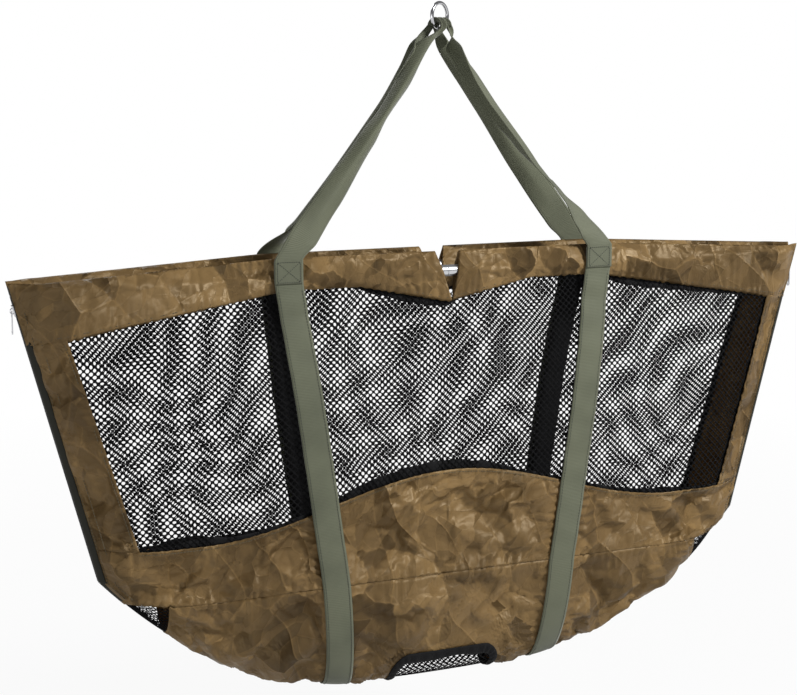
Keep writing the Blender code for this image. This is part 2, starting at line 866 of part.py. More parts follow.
def make_bail(end_name, carrier, frame, foot_x):
    """The bail is a wire arch along the slider, made a mesh so that a Boolean can take it."""
    curve = bpy.data.curves.new(f"bail_{end_name}", "CURVE")
    curve.dimensions = "3D"
    curve.bevel_depth = bail_wire_radius
    curve.bevel_resolution = 2
    curve.use_fill_caps = True
    spline = curve.splines.new("POLY")
    count = 13
    spline.points.add(count - 1)
    for index, point in enumerate(spline.points):
        angle = math.pi * index / (count - 1)
        rise = bail_radius * math.sin(angle) + slider_plate / 2
        point.co = (foot_x + (rise if 0 < index < count - 1 else 0), 0, bail_radius * math.cos(angle), 1)
    wire = bpy.data.objects.new(f"bail_wire_{end_name}", curve)
    CUTTERS.objects.link(wire)
    evaluated = wire.evaluated_get(bpy.context.evaluated_depsgraph_get())
    mesh = bpy.data.meshes.new_from_object(evaluated)
    bpy.data.objects.remove(wire)
    bm = bmesh.new()
    bm.from_mesh(mesh)
    bmesh.ops.remove_doubles(bm, verts=bm.verts, dist=weld_distance)
    bmesh.ops.recalc_face_normals(bm, faces=bm.faces)
    bm.to_mesh(mesh)
    bm.free()
    return helper(f"bail_{end_name}", mesh, carrier, frame)


pull_hinge_x = coil_thickness / 2 + seam_gap + slider_plate + bail_radius - bail_wire_radius - seam_gap - pull_pin


def loop_points(spline, points):
    spline.points.add(len(points) - 1)
    for point, (x, y) in zip(spline.points, points):
        point.co = (x, y, 0, 1)
    spline.use_cyclic_u = True


def arc(centre_x, centre_y, radius, start, end, count):
    angles = [math.radians(mix(start, end, index / (count - 1))) for index in range(count)]
    return [(centre_x + radius * math.cos(angle), centre_y + radius * math.sin(angle)) for angle in angles]


def make_pull(end_name, end, carrier):
    """A stamped tab that hangs on the bail by the bar above its slot, with a round eye at its foot."""
    hinge = slider_matrix(end) @ Matrix.Translation((pull_hinge_x, 0, 0))
    upright = Matrix.Rotation(0 if end == RIGHT else math.pi, 4, "Z")
    upright.translation = hinge.translation
    swing = place_empty(f"pull_hinge_{end_name}", upright, carrier)
    curve = bpy.data.curves.new(f"pull_{end_name}", "CURVE")
    curve.dimensions = "2D"
    curve.fill_mode = "BOTH"
    curve.extrude = pull_thickness / 2
    half = pull_width / 2
    top = pull_pin / 2
    foot = -pull_length + half
    loop_points(curve.splines.new("POLY"), [(half, top), (-half, top)] + arc(0, foot, half, 180, 360, 13))
    slot_top = -pull_pin / 2
    slot_half = pull_slot_width / 2
    slot_foot = slot_top - pull_slot_length
    loop_points(
        curve.splines.new("POLY"),
        [(slot_half, slot_top), (-slot_half, slot_top), (-slot_half, slot_foot), (slot_half, slot_foot)],
    )
    loop_points(curve.splines.new("POLY"), arc(0, foot, pull_eye_radius, 0, 330, 12))
    stand = upright @ Matrix.Rotation(math.pi / 2, 4, "Z") @ Matrix.Rotation(math.pi / 2, 4, "X")
    add_part(f"zip_pull_{end_name}", curve, "steel", swing, stand)


def make_zips(sling):
    for end_name, end in ENDS.items():
        make_zip_strips(end_name, end, sling)
        carrier = make_slider(end_name, end, sling)
        make_pull(end_name, end, carrier)


make_ring()
sling_pivot = place_empty("sling_pivot", Matrix.Translation(hang_point))
bpy.context.view_layer.update()
sling_frame = place_empty("sling_frame", Matrix.Identity(4), sling_pivot)
bpy.context.view_layer.update()
make_bridles(sling_frame)
make_bars(sling_frame)
make_walls(sling_frame)
make_floor(sling_frame)
make_straps(sling_frame)
make_zips(sling_frame)
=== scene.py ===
# %% [markdown]
# # Dressing a weigh sling
#
# A weigh sling is a long bag that carries a big fish to the scale. Two walls, each a large net window framed
# in thin nylon, hang from a metal bar in a sleeve. They meet at both ends in a zip, and below in a hammock
# floor. Webbing runs right round the bag and gathers in a steel ring. The solids of this sling are already
# built, so this lesson loads them as a fixed frame and makes the cloth, net, webbing and metal over them.

# %% Load the frame
import json
import math

import bmesh
import bpy
from mathutils import Matrix, Vector, noise

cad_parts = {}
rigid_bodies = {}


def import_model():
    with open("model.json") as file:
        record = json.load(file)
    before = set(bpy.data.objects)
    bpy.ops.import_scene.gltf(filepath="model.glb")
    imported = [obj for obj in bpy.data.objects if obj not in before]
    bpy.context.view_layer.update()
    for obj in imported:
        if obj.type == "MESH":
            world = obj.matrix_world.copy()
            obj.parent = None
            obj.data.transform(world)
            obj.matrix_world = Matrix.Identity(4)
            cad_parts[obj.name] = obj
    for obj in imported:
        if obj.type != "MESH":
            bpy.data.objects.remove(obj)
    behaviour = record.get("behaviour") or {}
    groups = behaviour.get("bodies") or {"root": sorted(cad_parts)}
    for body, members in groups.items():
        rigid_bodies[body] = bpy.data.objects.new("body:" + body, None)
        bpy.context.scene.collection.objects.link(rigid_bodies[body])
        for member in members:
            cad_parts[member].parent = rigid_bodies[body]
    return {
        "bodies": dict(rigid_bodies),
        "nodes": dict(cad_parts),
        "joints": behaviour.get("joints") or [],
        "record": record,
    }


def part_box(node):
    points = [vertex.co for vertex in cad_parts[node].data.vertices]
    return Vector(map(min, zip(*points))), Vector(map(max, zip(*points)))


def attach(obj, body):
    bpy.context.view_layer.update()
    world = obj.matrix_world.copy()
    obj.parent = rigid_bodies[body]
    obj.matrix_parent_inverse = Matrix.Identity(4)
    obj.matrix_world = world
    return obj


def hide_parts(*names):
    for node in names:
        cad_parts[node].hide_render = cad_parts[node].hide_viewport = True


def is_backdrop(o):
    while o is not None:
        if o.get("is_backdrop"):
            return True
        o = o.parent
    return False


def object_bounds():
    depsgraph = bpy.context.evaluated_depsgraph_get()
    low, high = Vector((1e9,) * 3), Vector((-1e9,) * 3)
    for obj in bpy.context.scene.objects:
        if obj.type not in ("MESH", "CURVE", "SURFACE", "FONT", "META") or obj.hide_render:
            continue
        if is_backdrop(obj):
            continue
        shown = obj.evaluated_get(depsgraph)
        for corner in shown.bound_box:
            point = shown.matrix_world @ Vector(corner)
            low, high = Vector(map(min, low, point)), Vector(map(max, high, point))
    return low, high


noise.seed_set(5)  # or the noise that bends nets and creases would differ each run
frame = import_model()
solid_low, solid_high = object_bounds()
print("solids from", [round(v, 3) for v in solid_low], "to", [round(v, 3) for v in solid_high])

# %% [markdown]
# ## Sizes
#
# The frame already knows where everything is, so the sizes that can be read from its nodes are read there:
# the bars give the height and width of the mouth, and the windows and the floor give the rest. The other
# sizes are those of cloth and thread, in metres.

# %% Read the sizes of the bag
bar_low, bar_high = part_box("front_bar_right")
cap_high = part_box("front_bar_cap_right")[1]
band_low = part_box("front_lower_band")[0]

mouth_z = (bar_low[2] + bar_high[2]) / 2
bar_radius = (bar_high[2] - bar_low[2]) / 2
bar_half_spacing = -(bar_low[1] + bar_high[1]) / 2
bar_half_length = bar_high[0]
cap_end_x = cap_high[0]
seam_z = band_low[2]
print("mouth at", round(mouth_z, 4), "seam at", round(seam_z, 4), "bar to", round(bar_half_length, 4))

# %% Sizes of the outline
mouth_half_length = 0.596
zip_foot_half_length = 0.492
foot_z = mouth_z - 0.397
floor_z = mouth_z - 0.595
outline_power = 2.75
edge_half_depth = 0.009
belly_half_depth = 0.052
belly_drop = 0.22
mouth_turn_width = 0.05
belly_turn_width = 0.10
webbing_width = 0.04
strap_at_mouth = 0.235
strap_at_seam = 0.174
strap_at_floor = 0.161
window_top_half_length = 0.532
window_foot_half_length = 0.447
window_corner_z = mouth_z - 0.062
window_top_middle_z = mouth_z - 0.014
window_dip = 0.027
window_dip_half_length = 0.13
crest_half_length = 0.36
window_foot_z = mouth_z - 0.35

RIGHT, LEFT = 1, -1
BACK, FRONT = 1, -1
ENDS = {"left": LEFT, "right": RIGHT}
WALLS = {"front": FRONT, "back": BACK}
FOOT = {FRONT: window_foot_z, BACK: mouth_z - 0.376}
CREST = {FRONT: 0.07, BACK: 0.03}

# %% [markdown]
# ## The bag as formulas
#
# Every panel is sewn from the same shape, so the shape is written once as a few functions. outline_x is the
# half length of the bag at a height, keel_z is its lowest line, and wall_depth is how far a wall stands from
# the middle plane. Any cloth laid on these functions meets its neighbour edge to edge.


# %% Blends between values
def mix(first, second, share):
    return first + (second - first) * share


def clamp(value, low=0.0, high=1.0):
    return max(low, min(high, value))


def share_of(value, start, end):
    return clamp((value - start) / (end - start))


def smooth(share):
    share = clamp(share)
    return share * share * (3 - 2 * share)


# %% The outline and the walls
def outline_x(z):
    if z >= foot_z:
        return mix(mouth_half_length, zip_foot_half_length, (mouth_z - z) / (mouth_z - foot_z))
    return zip_foot_half_length * clamp((z - floor_z) / (foot_z - floor_z)) ** (1 / outline_power)


def keel_z(x):
    return mix(floor_z, foot_z, (abs(x) / zip_foot_half_length) ** outline_power)


def wall_depth(x, z):
    fullness = math.sin(math.pi / 2 * share_of(z, mouth_z, mouth_z - belly_drop))
    middle = mix(bar_half_spacing, belly_half_depth, fullness)
    turn_width = mix(mouth_turn_width, belly_turn_width, fullness)
    side = 1 - (1 - clamp((outline_x(z) - abs(x)) / turn_width)) ** 2
    return mix(edge_half_depth, middle, side)


def strap_x(z):
    if z > seam_z:
        return mix(strap_at_seam, strap_at_mouth, share_of(z, seam_z, mouth_z))
    return mix(strap_at_floor, strap_at_seam, share_of(z, floor_z, seam_z))


def past_strap(x, z):
    """How far a place is past the strap's edge. It is less than 0 under the strap."""
    return abs(abs(x) - strap_x(z)) - webbing_width / 2


def floor_point(x, angle):
    depth = wall_depth(x, seam_z)
    height = seam_z - keel_z(x)
    return Vector((x, depth * math.sin(angle), seam_z - height * math.cos(angle)))


print("bag is", round(2 * outline_x(mouth_z), 3), "m long at the mouth,", round(-keel_z(0), 3), "m deep")


# %% The window's edges
def window_top_z(x):
    dip = window_dip * clamp(1 - abs(x) / window_dip_half_length)
    fall = (window_top_middle_z - window_corner_z) / (window_top_half_length - strap_at_mouth)
    return window_top_middle_z - dip - fall * max(0.0, abs(x) - strap_at_mouth)


def window_foot_line(x, wall):
    crest = 0.5 + 0.5 * math.cos(math.pi * clamp(abs(x) / crest_half_length))
    return FOOT[wall] + CREST[wall] * crest


def window_side_x(z):
    share = (window_corner_z - z) / (window_corner_z - window_foot_z)
    return mix(window_top_half_length, window_foot_half_length, share)


# %% [markdown]
# ## Nodes as sums
#
# A material is easier to read as arithmetic than as a list of links. The class below wraps a socket, so that
# an expression such as 1 - mask * 0.3 adds its own Math nodes. Numbers alone stay in Python. Colours and
# vectors have their own methods, because a Math node would turn a colour grey.


# %% A socket that adds up
class Wire:
    def __init__(self, tree, socket):
        self.tree = tree
        self.socket = socket

    def _math(self, operation, first, second=None):
        given = {0: first} if second is None else {0: first, 1: second}
        return self.tree.add("ShaderNodeMath", {"operation": operation}, given)

    def __add__(self, other):
        return self._math("ADD", self, other)

    def __sub__(self, other):
        return self._math("SUBTRACT", self, other)

    def __rsub__(self, other):
        return self._math("SUBTRACT", other, self)

    def __mul__(self, other):
        return self._math("MULTIPLY", self, other)

    __radd__ = __add__
    __rmul__ = __mul__

    def wave(self, pitch):
        """A sine from 0 to 1 that repeats every pitch."""
        return 0.5 + 0.5 * self._math("SINE", self * (2 * math.pi / pitch))

    def size(self):
        return self._math("ABSOLUTE", self)

    def at_least(self, other):
        return self._math("MAXIMUM", self, other)

    def span(self, low, high, start=0.0, end=1.0, easing="LINEAR"):
        """start at low and below, end at high and above, and a blend of the two between them."""
        inputs = {0: self, 1: low, 2: high, 3: start, 4: end}
        return self.tree.add("ShaderNodeMapRange", {"interpolation_type": easing}, inputs)

    def near(self, place, width):
        """1 at place, falling to 0 at width from it."""
        return (self - place).size().span(0.0, width, 1.0, 0.0, "SMOOTHSTEP")

    def stretched(self, x, y, z):
        return self.tree.vector_math("MULTIPLY", self, (x, y, z))

    def rolled(self, angle):
        """A vector turned about the y axis, which lies across the bag."""
        turn = {"rotation_type": "Y_AXIS"}
        return self.tree.add("ShaderNodeVectorRotate", turn, {"Vector": self, "Angle": angle})

    def between(self, first, second):
        """A colour between two, with this value as the share of the second."""
        return self.tree.add("ShaderNodeMix", {"data_type": "RGBA"}, {0: self, 6: first, 7: second}, output=2)


# %% A tree that makes nodes
class Tree:
    """The nodes of a material or of the world."""

    def __init__(self, owner):
        owner.use_nodes = True
        self.nodes = owner.node_tree.nodes
        self.links = owner.node_tree.links

    def feed(self, socket, value):
        if isinstance(value, Wire):
            self.links.new(value.socket, socket)
        else:
            socket.default_value = value

    def add_for(self, outputs, kind, settings, inputs):
        """A new node, as one Wire for each of the outputs."""
        node = self.nodes.new(kind)
        for setting, value in settings.items():
            setattr(node, setting, value)
        for key, value in inputs.items():
            self.feed(node.inputs[key], value)
        return [Wire(self, node.outputs[key]) for key in outputs]

    def add(self, kind, settings, inputs, output=0):
        return self.add_for([output], kind, settings, inputs)[0]

    def vector_math(self, operation, *values, output=0):
        return self.add("ShaderNodeVectorMath", {"operation": operation}, dict(enumerate(values)), output)

    def seen_by(self, *rays):
        """1 for two kinds of light ray, and 0 for all the others."""
        first, second = self.add_for(rays, "ShaderNodeLightPath", {}, {})
        return first.at_least(second)


# %% A tree for a material
crease_share = 0.035  # half the width of a crease, as a share of a facet


class Finish(Tree):
    def __init__(self, name, colour, roughness, metallic=0.0, **constants):
        self.material = bpy.data.materials.new(name)
        super().__init__(self.material)
        self.material.diffuse_color = colour
        self.shader = self.nodes["Principled BSDF"]
        self.set("Base Color", colour)
        self.set("Roughness", roughness)
        self.set("Metallic", metallic)
        for socket, value in constants.items():
            self.shader.inputs[socket.replace("_", " ")].default_value = value

    def set(self, socket, value):
        self.feed(self.shader.inputs[socket], value)

    def place(self):
        return self.add("ShaderNodeTexCoord", {}, {}, output=3)

    def laid(self):
        """The cloth's own flat place in metres: across it, then along it."""
        uv = self.add("ShaderNodeUVMap", {"uv_map": "cloth"}, {})
        return self.add_for((0, 1), "ShaderNodeSeparateXYZ", {}, {0: uv})

    def noise(self, scale, detail=2.0, vector=None, output=0):
        inputs = {"Vector": vector or self.place(), "Scale": scale, "Detail": detail}
        return self.add("ShaderNodeTexNoise", {}, inputs, output)

    def cells(self, scale, feature="F1", vector=None):
        inputs = {"Vector": vector or self.place(), "Scale": scale}
        return self.add("ShaderNodeTexVoronoi", {"feature": feature}, inputs)

    def planes(self, scale, vector, lean):
        """Flat facets: every cell is a plane that leans its own way.

        Gives the height of the facets, a random tone for each that the nylon uses as a painted sheen, and the
        creases between them."""
        inputs = {"Vector": vector, "Scale": scale}
        own, middle = self.add_for(("Color", "Position"), "ShaderNodeTexVoronoi", {}, inputs)
        tilt = self.vector_math("MULTIPLY_ADD", own, (2 * lean,) * 3, (-lean,) * 3)
        from_middle = self.vector_math("SUBTRACT", vector, middle)
        height = self.vector_math("DOT_PRODUCT", from_middle, tilt, output=1)
        # A random tone for each facet, which the nylon paints on as sheen.
        tone = self.add("ShaderNodeSeparateColor", {}, {0: own})
        crease = self.cells(scale, "DISTANCE_TO_EDGE", vector).near(0, crease_share)
        return height, tone, crease

    def cover(self, share, shader):
        """Lays so much of another shader over the material's own."""
        own = Wire(self, self.shader.outputs[0])
        both = self.add("ShaderNodeMixShader", {}, {0: share, 1: own, 2: shader})
        self.feed(self.nodes["Material Output"].inputs["Surface"], both)

    def let_through(self, share, colour):
        """Thin cloth shows some of the light that falls on its other side."""
        self.cover(share, self.add("ShaderNodeBsdfTranslucent", {}, {"Color": colour}))

    def raise_by(self, height, distance, strength=1.0):
        bump = self.add("ShaderNodeBump", {}, {"Height": height, "Distance": distance, "Strength": strength})
        self.set("Normal", bump)


print("sockets can now be added, multiplied and mixed")

# %% [markdown]
# ## Nylon
#
# The bag is thin coated nylon. It holds every sharp crease it was packed with, and it shines a little, so
# flat facets catch the light beside dark ones. The large folds are real shape, made later in the mesh. The
# material adds the facets between them: every cell of a pattern is a plane that leans its own way, in three
# sizes, over a very fine weave. The two larger sizes are turned and drawn out. The colour mixes a random dye
# tone with painted light: a painted sheen that differs from facet to facet, a painted shade that runs across
# each facet with its lean, and a painted highlight along the creases between the facets. What the nylon
# mirrors has the colour of the dye.

# %% Nylon finish
# The two ends of one tone range, used both for the dye's random tone and for painted light and shade.
nylon_light = (0.250, 0.158, 0.064, 1)
nylon_dark = (0.074, 0.045, 0.018, 1)
nylon = Finish("nylon_cloth", nylon_light, 0.4, Specular_IOR_Level=0.45, Specular_Tint=(1.0, 0.82, 0.56, 1))
dye = nylon.noise(7, 2).span(0.35, 0.68)
warped = nylon.vector_math("MULTIPLY_ADD", nylon.noise(6, 1, output=1), (0.09, 0.09, 0.09), nylon.place())
shards = warped.rolled(0.6).stretched(1.0, 1.0, 0.42)
splinters = warped.rolled(-0.8).stretched(1.0, 1.0, 0.5)
# The random tone of each facet is used in the colour as a painted sheen.
wide, wide_painted_sheen, wide_crease = nylon.planes(17, shards, 0.6)
middle, middle_painted_sheen, middle_crease = nylon.planes(44, splinters, 0.42)
small, _, _ = nylon.planes(110, warped, 0.09)
weave = nylon.noise(2600, 0)
# Painted shade: the colour darkens across each facet with its lean, as if lit from one side.
painted_facet_shade = wide * 9 + middle * 14
# The creases raise the bump, and in the colour they paint a pale highlight along each crease.
creases = wide_crease * 0.22 + middle_crease * 0.14
# Base colour: the dye's random tone plus the painted sheen, painted shade and painted highlight above.
tone = 0.15 + dye * 0.26 + wide_painted_sheen * 0.25 + middle_painted_sheen * 0.18 + painted_facet_shade - creases
nylon.set("Base Color", tone.span(0.15, 0.85).between(nylon_light, nylon_dark))
nylon.set("Roughness", 0.42 + dye * 0.12)
nylon.raise_by(wide + middle + small + creases * 0.002 + weave * 0.00008, 1.0, 0.85)
nylon.let_through(0.22, (0.30, 0.17, 0.055, 1))

# %% [markdown]
# ## Net, webbing and thread
#
# The net is matt black twine. The webbing is a grey-green polypropylene belt: its weave is fine ribs across
# the belt, and its two edges are drawn tighter. Those patterns follow the belt and not the room, so they
# use the flat place that each belt's mesh carries in its UV map.

# %% Net, tape and thread finishes
twine = Finish("net_twine", (0.004, 0.004, 0.0045, 1), 0.8, Specular_IOR_Level=0.12)
twine.raise_by(twine.noise(900, 1), 0.0004, 0.5)

binding = Finish("black_binding", (0.006, 0.006, 0.0065, 1), 0.85, Specular_IOR_Level=0.2)
binding.raise_by(binding.noise(420, 2) + binding.cells(300) * 0.6, 0.0008, 0.8)

thread = Finish("olive_thread", (0.085, 0.07, 0.038, 1), 0.6)
thread.raise_by(thread.noise(1500, 0), 0.0002, 0.5)
dark_thread = Finish("dark_thread", (0.03, 0.032, 0.024, 1), 0.6)
dark_thread.raise_by(dark_thread.noise(1500, 0), 0.0002, 0.5)

# %% Webbing finish
belt_light = (0.108, 0.116, 0.072, 1)
belt_dark = (0.056, 0.062, 0.037, 1)
belt = Finish("green_webbing", belt_light, 0.72, Sheen_Weight=0.25, Sheen_Roughness=0.4)
across, along = belt.laid()
ribs = along.wave(0.0021)
cords = across.wave(0.0016)
selvedge = across.size().near(webbing_width / 2 - 0.0035, 0.0009)
soil = belt.noise(14, 3).span(0.4, 0.72)
belt.set("Base Color", (soil * 0.5 + selvedge * 0.35 + ribs * 0.12).between(belt_light, belt_dark))
belt.raise_by(ribs * 0.5 + cords * 0.3 - selvedge * 0.9 + belt.noise(500, 1) * 0.25, 0.0006, 0.6)

# %% [markdown]
# ## Metal and plastic
#
# The ring, the zip sliders and their pulls are chrome. Chrome is nearly a mirror, so it only needs faint
# scratches and smears in its roughness. The bars are drawn aluminium, with fine lines along the tube.

# %% Metal and plastic finishes
chrome = Finish("chrome", (0.52, 0.52, 0.54, 1), 0.14, 1.0)
chrome.set("Roughness", chrome.noise(160, 4).span(0.35, 0.75, 0.08, 0.3))
tube = Finish("drawn_aluminium", (0.62, 0.63, 0.65, 1), 0.3, 1.0)
drawn = tube.noise(120, 2, vector=tube.place().stretched(0.04, 1.0, 1.0))
tube.set("Roughness", drawn.span(0.3, 0.7, 0.24, 0.42))
tube.raise_by(drawn, 0.00015, 0.4)
plug = Finish("black_plastic", (0.02, 0.02, 0.021, 1), 0.45)
plug.set("Roughness", plug.noise(300, 2).span(0.3, 0.7, 0.38, 0.55))
zip_cloth = Finish("zip_tape", (0.013, 0.013, 0.008, 1), 0.75, Specular_IOR_Level=0.3)
zip_cloth.raise_by(zip_cloth.noise(1400, 1), 0.0003, 0.6)
print(len(bpy.data.materials), "materials")

# %% [markdown]
# ## Cloth
#
# A panel of cloth is a fine grid laid on the bag's formulas. Crumpled nylon is made of flat facets that meet
# in sharp creases, so the grid is pushed by a height that is linear over small triangles: random heights at
# the corners of a bent triangle lattice. Three sizes of lattice together look like a bag that was rolled up.


# %% Crumple heights
# Each size of crumple: its height and pitch in metres, and what it adds to the seed.
CRUMPLES = ((0.0075, 0.072, 0), (0.0042, 0.031, 7), (0.0013, 0.013, 13))
crumple_stretch = 0.62
fold_height = 0.006
fold_pitch = 0.085


def facets(u, v, pitch, seed):
    """A height from -1 to 1, flat over triangles of about this pitch."""
    u, v = u / pitch, v / pitch
    bend = noise.noise_vector(Vector((u * 0.6, v * 0.6, seed)))
    u, v = u + 0.75 * bend.x, v + 0.75 * bend.y
    skew = (u + v) * 0.366
    column, row = math.floor(u + skew), math.floor(v + skew)
    right, up = u + skew - column, v + skew - row

    def corner(i, j):
        return noise.cell(Vector((column + i + 0.5, row + j + 0.5, seed + 0.5)))

    if right > up:
        return corner(0, 0) + right * (corner(1, 0) - corner(0, 0)) + up * (corner(1, 1) - corner(1, 0))
    return corner(0, 0) + up * (corner(0, 1) - corner(0, 0)) + right * (corner(1, 1) - corner(0, 1))


def crumpled(u, v, seed):
    """How far crumpled nylon stands out, with creases that lean as a hanging bag's do."""
    lean, rise = (u * 0.86 + v * 0.5) * crumple_stretch, v * 0.86 - u * 0.5
    return sum(height * facets(lean, rise, pitch, seed + more) for height, pitch, more in CRUMPLES)


def loose_fold(x, z, height):
    """The same leaning folds as the solids have."""
    strap_room = clamp(past_strap(x, z) / webbing_width)
    edge_room = clamp((outline_x(z) - abs(x)) / belly_turn_width)
    swell = 0.5 + 0.5 * math.sin(2 * math.pi * (abs(x) + 0.9 * (z - seam_z)) / fold_pitch)
    return fold_height * swell * strap_room * edge_room * math.sin(math.pi * clamp(height))


# %% Meshes and pieces
def plain_mesh(name, places, faces):
    mesh = bpy.data.meshes.new(name)
    mesh.from_pydata(places, [], faces)
    return mesh


def join_rings(faces, first, rings, sides):
    """Adds the faces of a tube whose rings of vertices follow each other from the vertex first."""
    for low in range(first, first + (rings - 1) * sides, sides):
        for k in range(sides):
            after = (k + 1) % sides
            faces.append((low + k, low + after, low + sides + after, low + sides + k))


def new_object(name, data):
    made = bpy.data.objects.new(name, data)
    bpy.context.scene.collection.objects.link(made)
    return made


def add_piece(mesh, finish, body="sling", thickness=None):
    """A visible piece with the name of its mesh, which rides on a body of the frame."""
    for polygon in mesh.polygons:
        polygon.use_smooth = True
    mesh.materials.append(finish.material)
    piece = new_object(mesh.name, mesh)
    if thickness:
        skin = piece.modifiers.new("skin", "SOLIDIFY")
        skin.thickness = thickness
        skin.offset = 0
    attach(piece, body)
    return piece


# %% A grid of cloth
def sheet_mesh(name, point, columns, rows, push=None, out=None, closed=False):
    """A grid over across and along from 0 to 1, laid by point and then pushed along its normals.

    out(place) is any direction out of the bag there, so that a push of more than 0 goes outwards."""
    ring = columns if closed else columns + 1
    spots = [(i / columns, j / rows) for j in range(rows + 1) for i in range(ring)]
    laid = [Vector(point(*spot)) for spot in spots]
    faces = []
    for j in range(rows):
        for i in range(columns):
            near, far = i, (i + 1) % ring
            faces.append((j * ring + near, j * ring + far, (j + 1) * ring + far, (j + 1) * ring + near))
    mesh = plain_mesh(name, laid, faces)
    if push:
        normals = [Vector(n.vector) for n in mesh.vertex_normals]
        for vertex, normal, spot in zip(mesh.vertices, normals, spots):
            side = math.copysign(1, normal.dot(out(vertex.co)))
            vertex.co = vertex.co + normal * push(*spot, vertex.co) * side
    return mesh


def flat_places(mesh, columns, rows, width, length):
    """A UV map in metres, from the middle of the cloth across and from its start along."""
    layer = mesh.uv_layers.new(name="cloth")
    for index, polygon in enumerate(mesh.polygons):
        i, j = index % columns, index // columns
        for loop, (di, dj) in zip(polygon.loop_indices, ((0, 0), (1, 0), (1, 1), (0, 1))):
            layer.data[loop].uv = (((i + di) / columns - 0.5) * width, (j + dj) / rows * length)


print("cloth can be laid, crumpled and thickened")

# %% [markdown]
# ## More cloth than room
#
# Nylon crumples because a sewn panel has more cloth than the space between its seams. Blender's Cloth can do
# exactly that: every edge of the mesh is told to grow by a few hundredths while the seams are held, and the
# cloth has to buckle. The facets above only tell it where to start. The panels are marked here, and they are
# all let go together further down, because one run over the frames moves them side by side.

# %% Marking a panel as slack
slack_panels = []


def slacken(piece, held, growth, keep_clear=None):
    """held(index, place) is true where the cloth is sewn, and keep_clear(place) mends a point afterwards."""
    slack_panels.append((piece, held, growth, keep_clear))


def sewn_edges(columns, rows, closed=False):
    ring = columns if closed else columns + 1

    def held(index, place):
        column, row = index % ring, index // ring
        return row in (0, rows) or (not closed and column in (0, columns))

    return held


def under_strap(place):
    return past_strap(place.x, place.z) < 0


def crumple_all(frames=30):
    for piece, held, growth, _ in slack_panels:
        sewn = piece.vertex_groups.new(name="sewn")
        sewn.add([v.index for v in piece.data.vertices if held(v.index, v.co)], 1.0, "REPLACE")
        piece.modifiers["skin"].show_viewport = False
        loose = piece.modifiers.new("loose", "CLOTH")
        rules = loose.settings
        rules.quality = 4
        rules.mass = 0.1
        rules.tension_stiffness = rules.compression_stiffness = 12
        rules.shear_stiffness = 4
        rules.bending_stiffness = 0.3
        rules.bending_damping = 0.2
        rules.air_damping = 2
        rules.shrink_min = -growth
        rules.vertex_group_mass = "sewn"
        rules.effector_weights.gravity = 0
        loose.collision_settings.use_collision = False
        loose.point_cache.frame_end = frames
    for frame in range(1, frames + 1):
        bpy.context.scene.frame_set(frame)
    state = bpy.context.evaluated_depsgraph_get()
    for piece, _, _, keep_clear in slack_panels:
        settled = [vertex.co.copy() for vertex in piece.evaluated_get(state).data.vertices]
        piece.modifiers.remove(piece.modifiers["loose"])
        piece.modifiers["skin"].show_viewport = True
        furthest = 0.0
        for vertex, place in zip(piece.data.vertices, settled):
            if keep_clear:
                place = keep_clear(place)
            furthest = max(furthest, (place - vertex.co).length)
            vertex.co = place
        print(piece.name, "moved up to", round(furthest * 1000, 1), "mm")
    bpy.context.scene.frame_set(1)


# %% [markdown]
# ## The panels of the walls
#
# Each wall has a border beside each zip and a lower band under the window. A panel is smooth where it is
# sewn and loose in its middle, so its crumple fades out towards its edges. Near a seam the thread draws the
# nylon into small puckers instead.

# %% Wall panels
cloth_thickness = 0.0007
seam_width = 0.014
pucker_pitch = 0.0125
pucker_height = 0.0013
pucker_reach = 0.013
border_width = 0.07
zip_lap = 0.0075


def by_zip(place):
    """Is a place on the strip of nylon that is sewn to the zip?"""
    return outline_x(place.z) - abs(place.x) < zip_lap + 0.003


def beside_lap(from_end):
    """0 where the zip's tape lies over the nylon, and 1 past it."""
    return smooth(share_of(from_end, zip_lap + 0.001, zip_lap + 0.007))


def room_at(share, length):
    """How free the cloth is at a share of a panel that is this long: 0 at its sewn edges."""
    return smooth(min(share, 1 - share) * length / seam_width)


def pucker(distance, place, seed):
    """Small gathers beside a seam, at a distance from it."""
    drift = noise.noise(Vector((place * 30, seed, 0)))
    fade = math.exp(-distance / pucker_reach) * (0.5 + drift)
    return pucker_height * fade * math.sin(2 * math.pi * place / pucker_pitch + 5 * drift)


def wall_point(x, z, wall, inward=0.0):
    return Vector((x, wall * (wall_depth(x, z) - inward), z))


def laid_on_wall(x_at, low_at, high_at, wall, end=RIGHT, loose=False):
    """The places of a panel between two heights. x and z follow from each other, so they settle in turns."""

    def point(across, along):
        z = mix(low_at(0), high_at(0), along)
        for _ in range(6):
            x = x_at(across, z)
            z = mix(low_at(x), high_at(x), along)
        return wall_point(end * x, z, wall, loose_fold(x, z, along) if loose else 0)

    return point


def outward(wall):
    return lambda place: Vector((0, wall, 0))


def strap_room_at(x, z):
    """0 under a strap, where the webbing holds the nylon flat."""
    return smooth((past_strap(x, z) + 0.004) / 0.025)


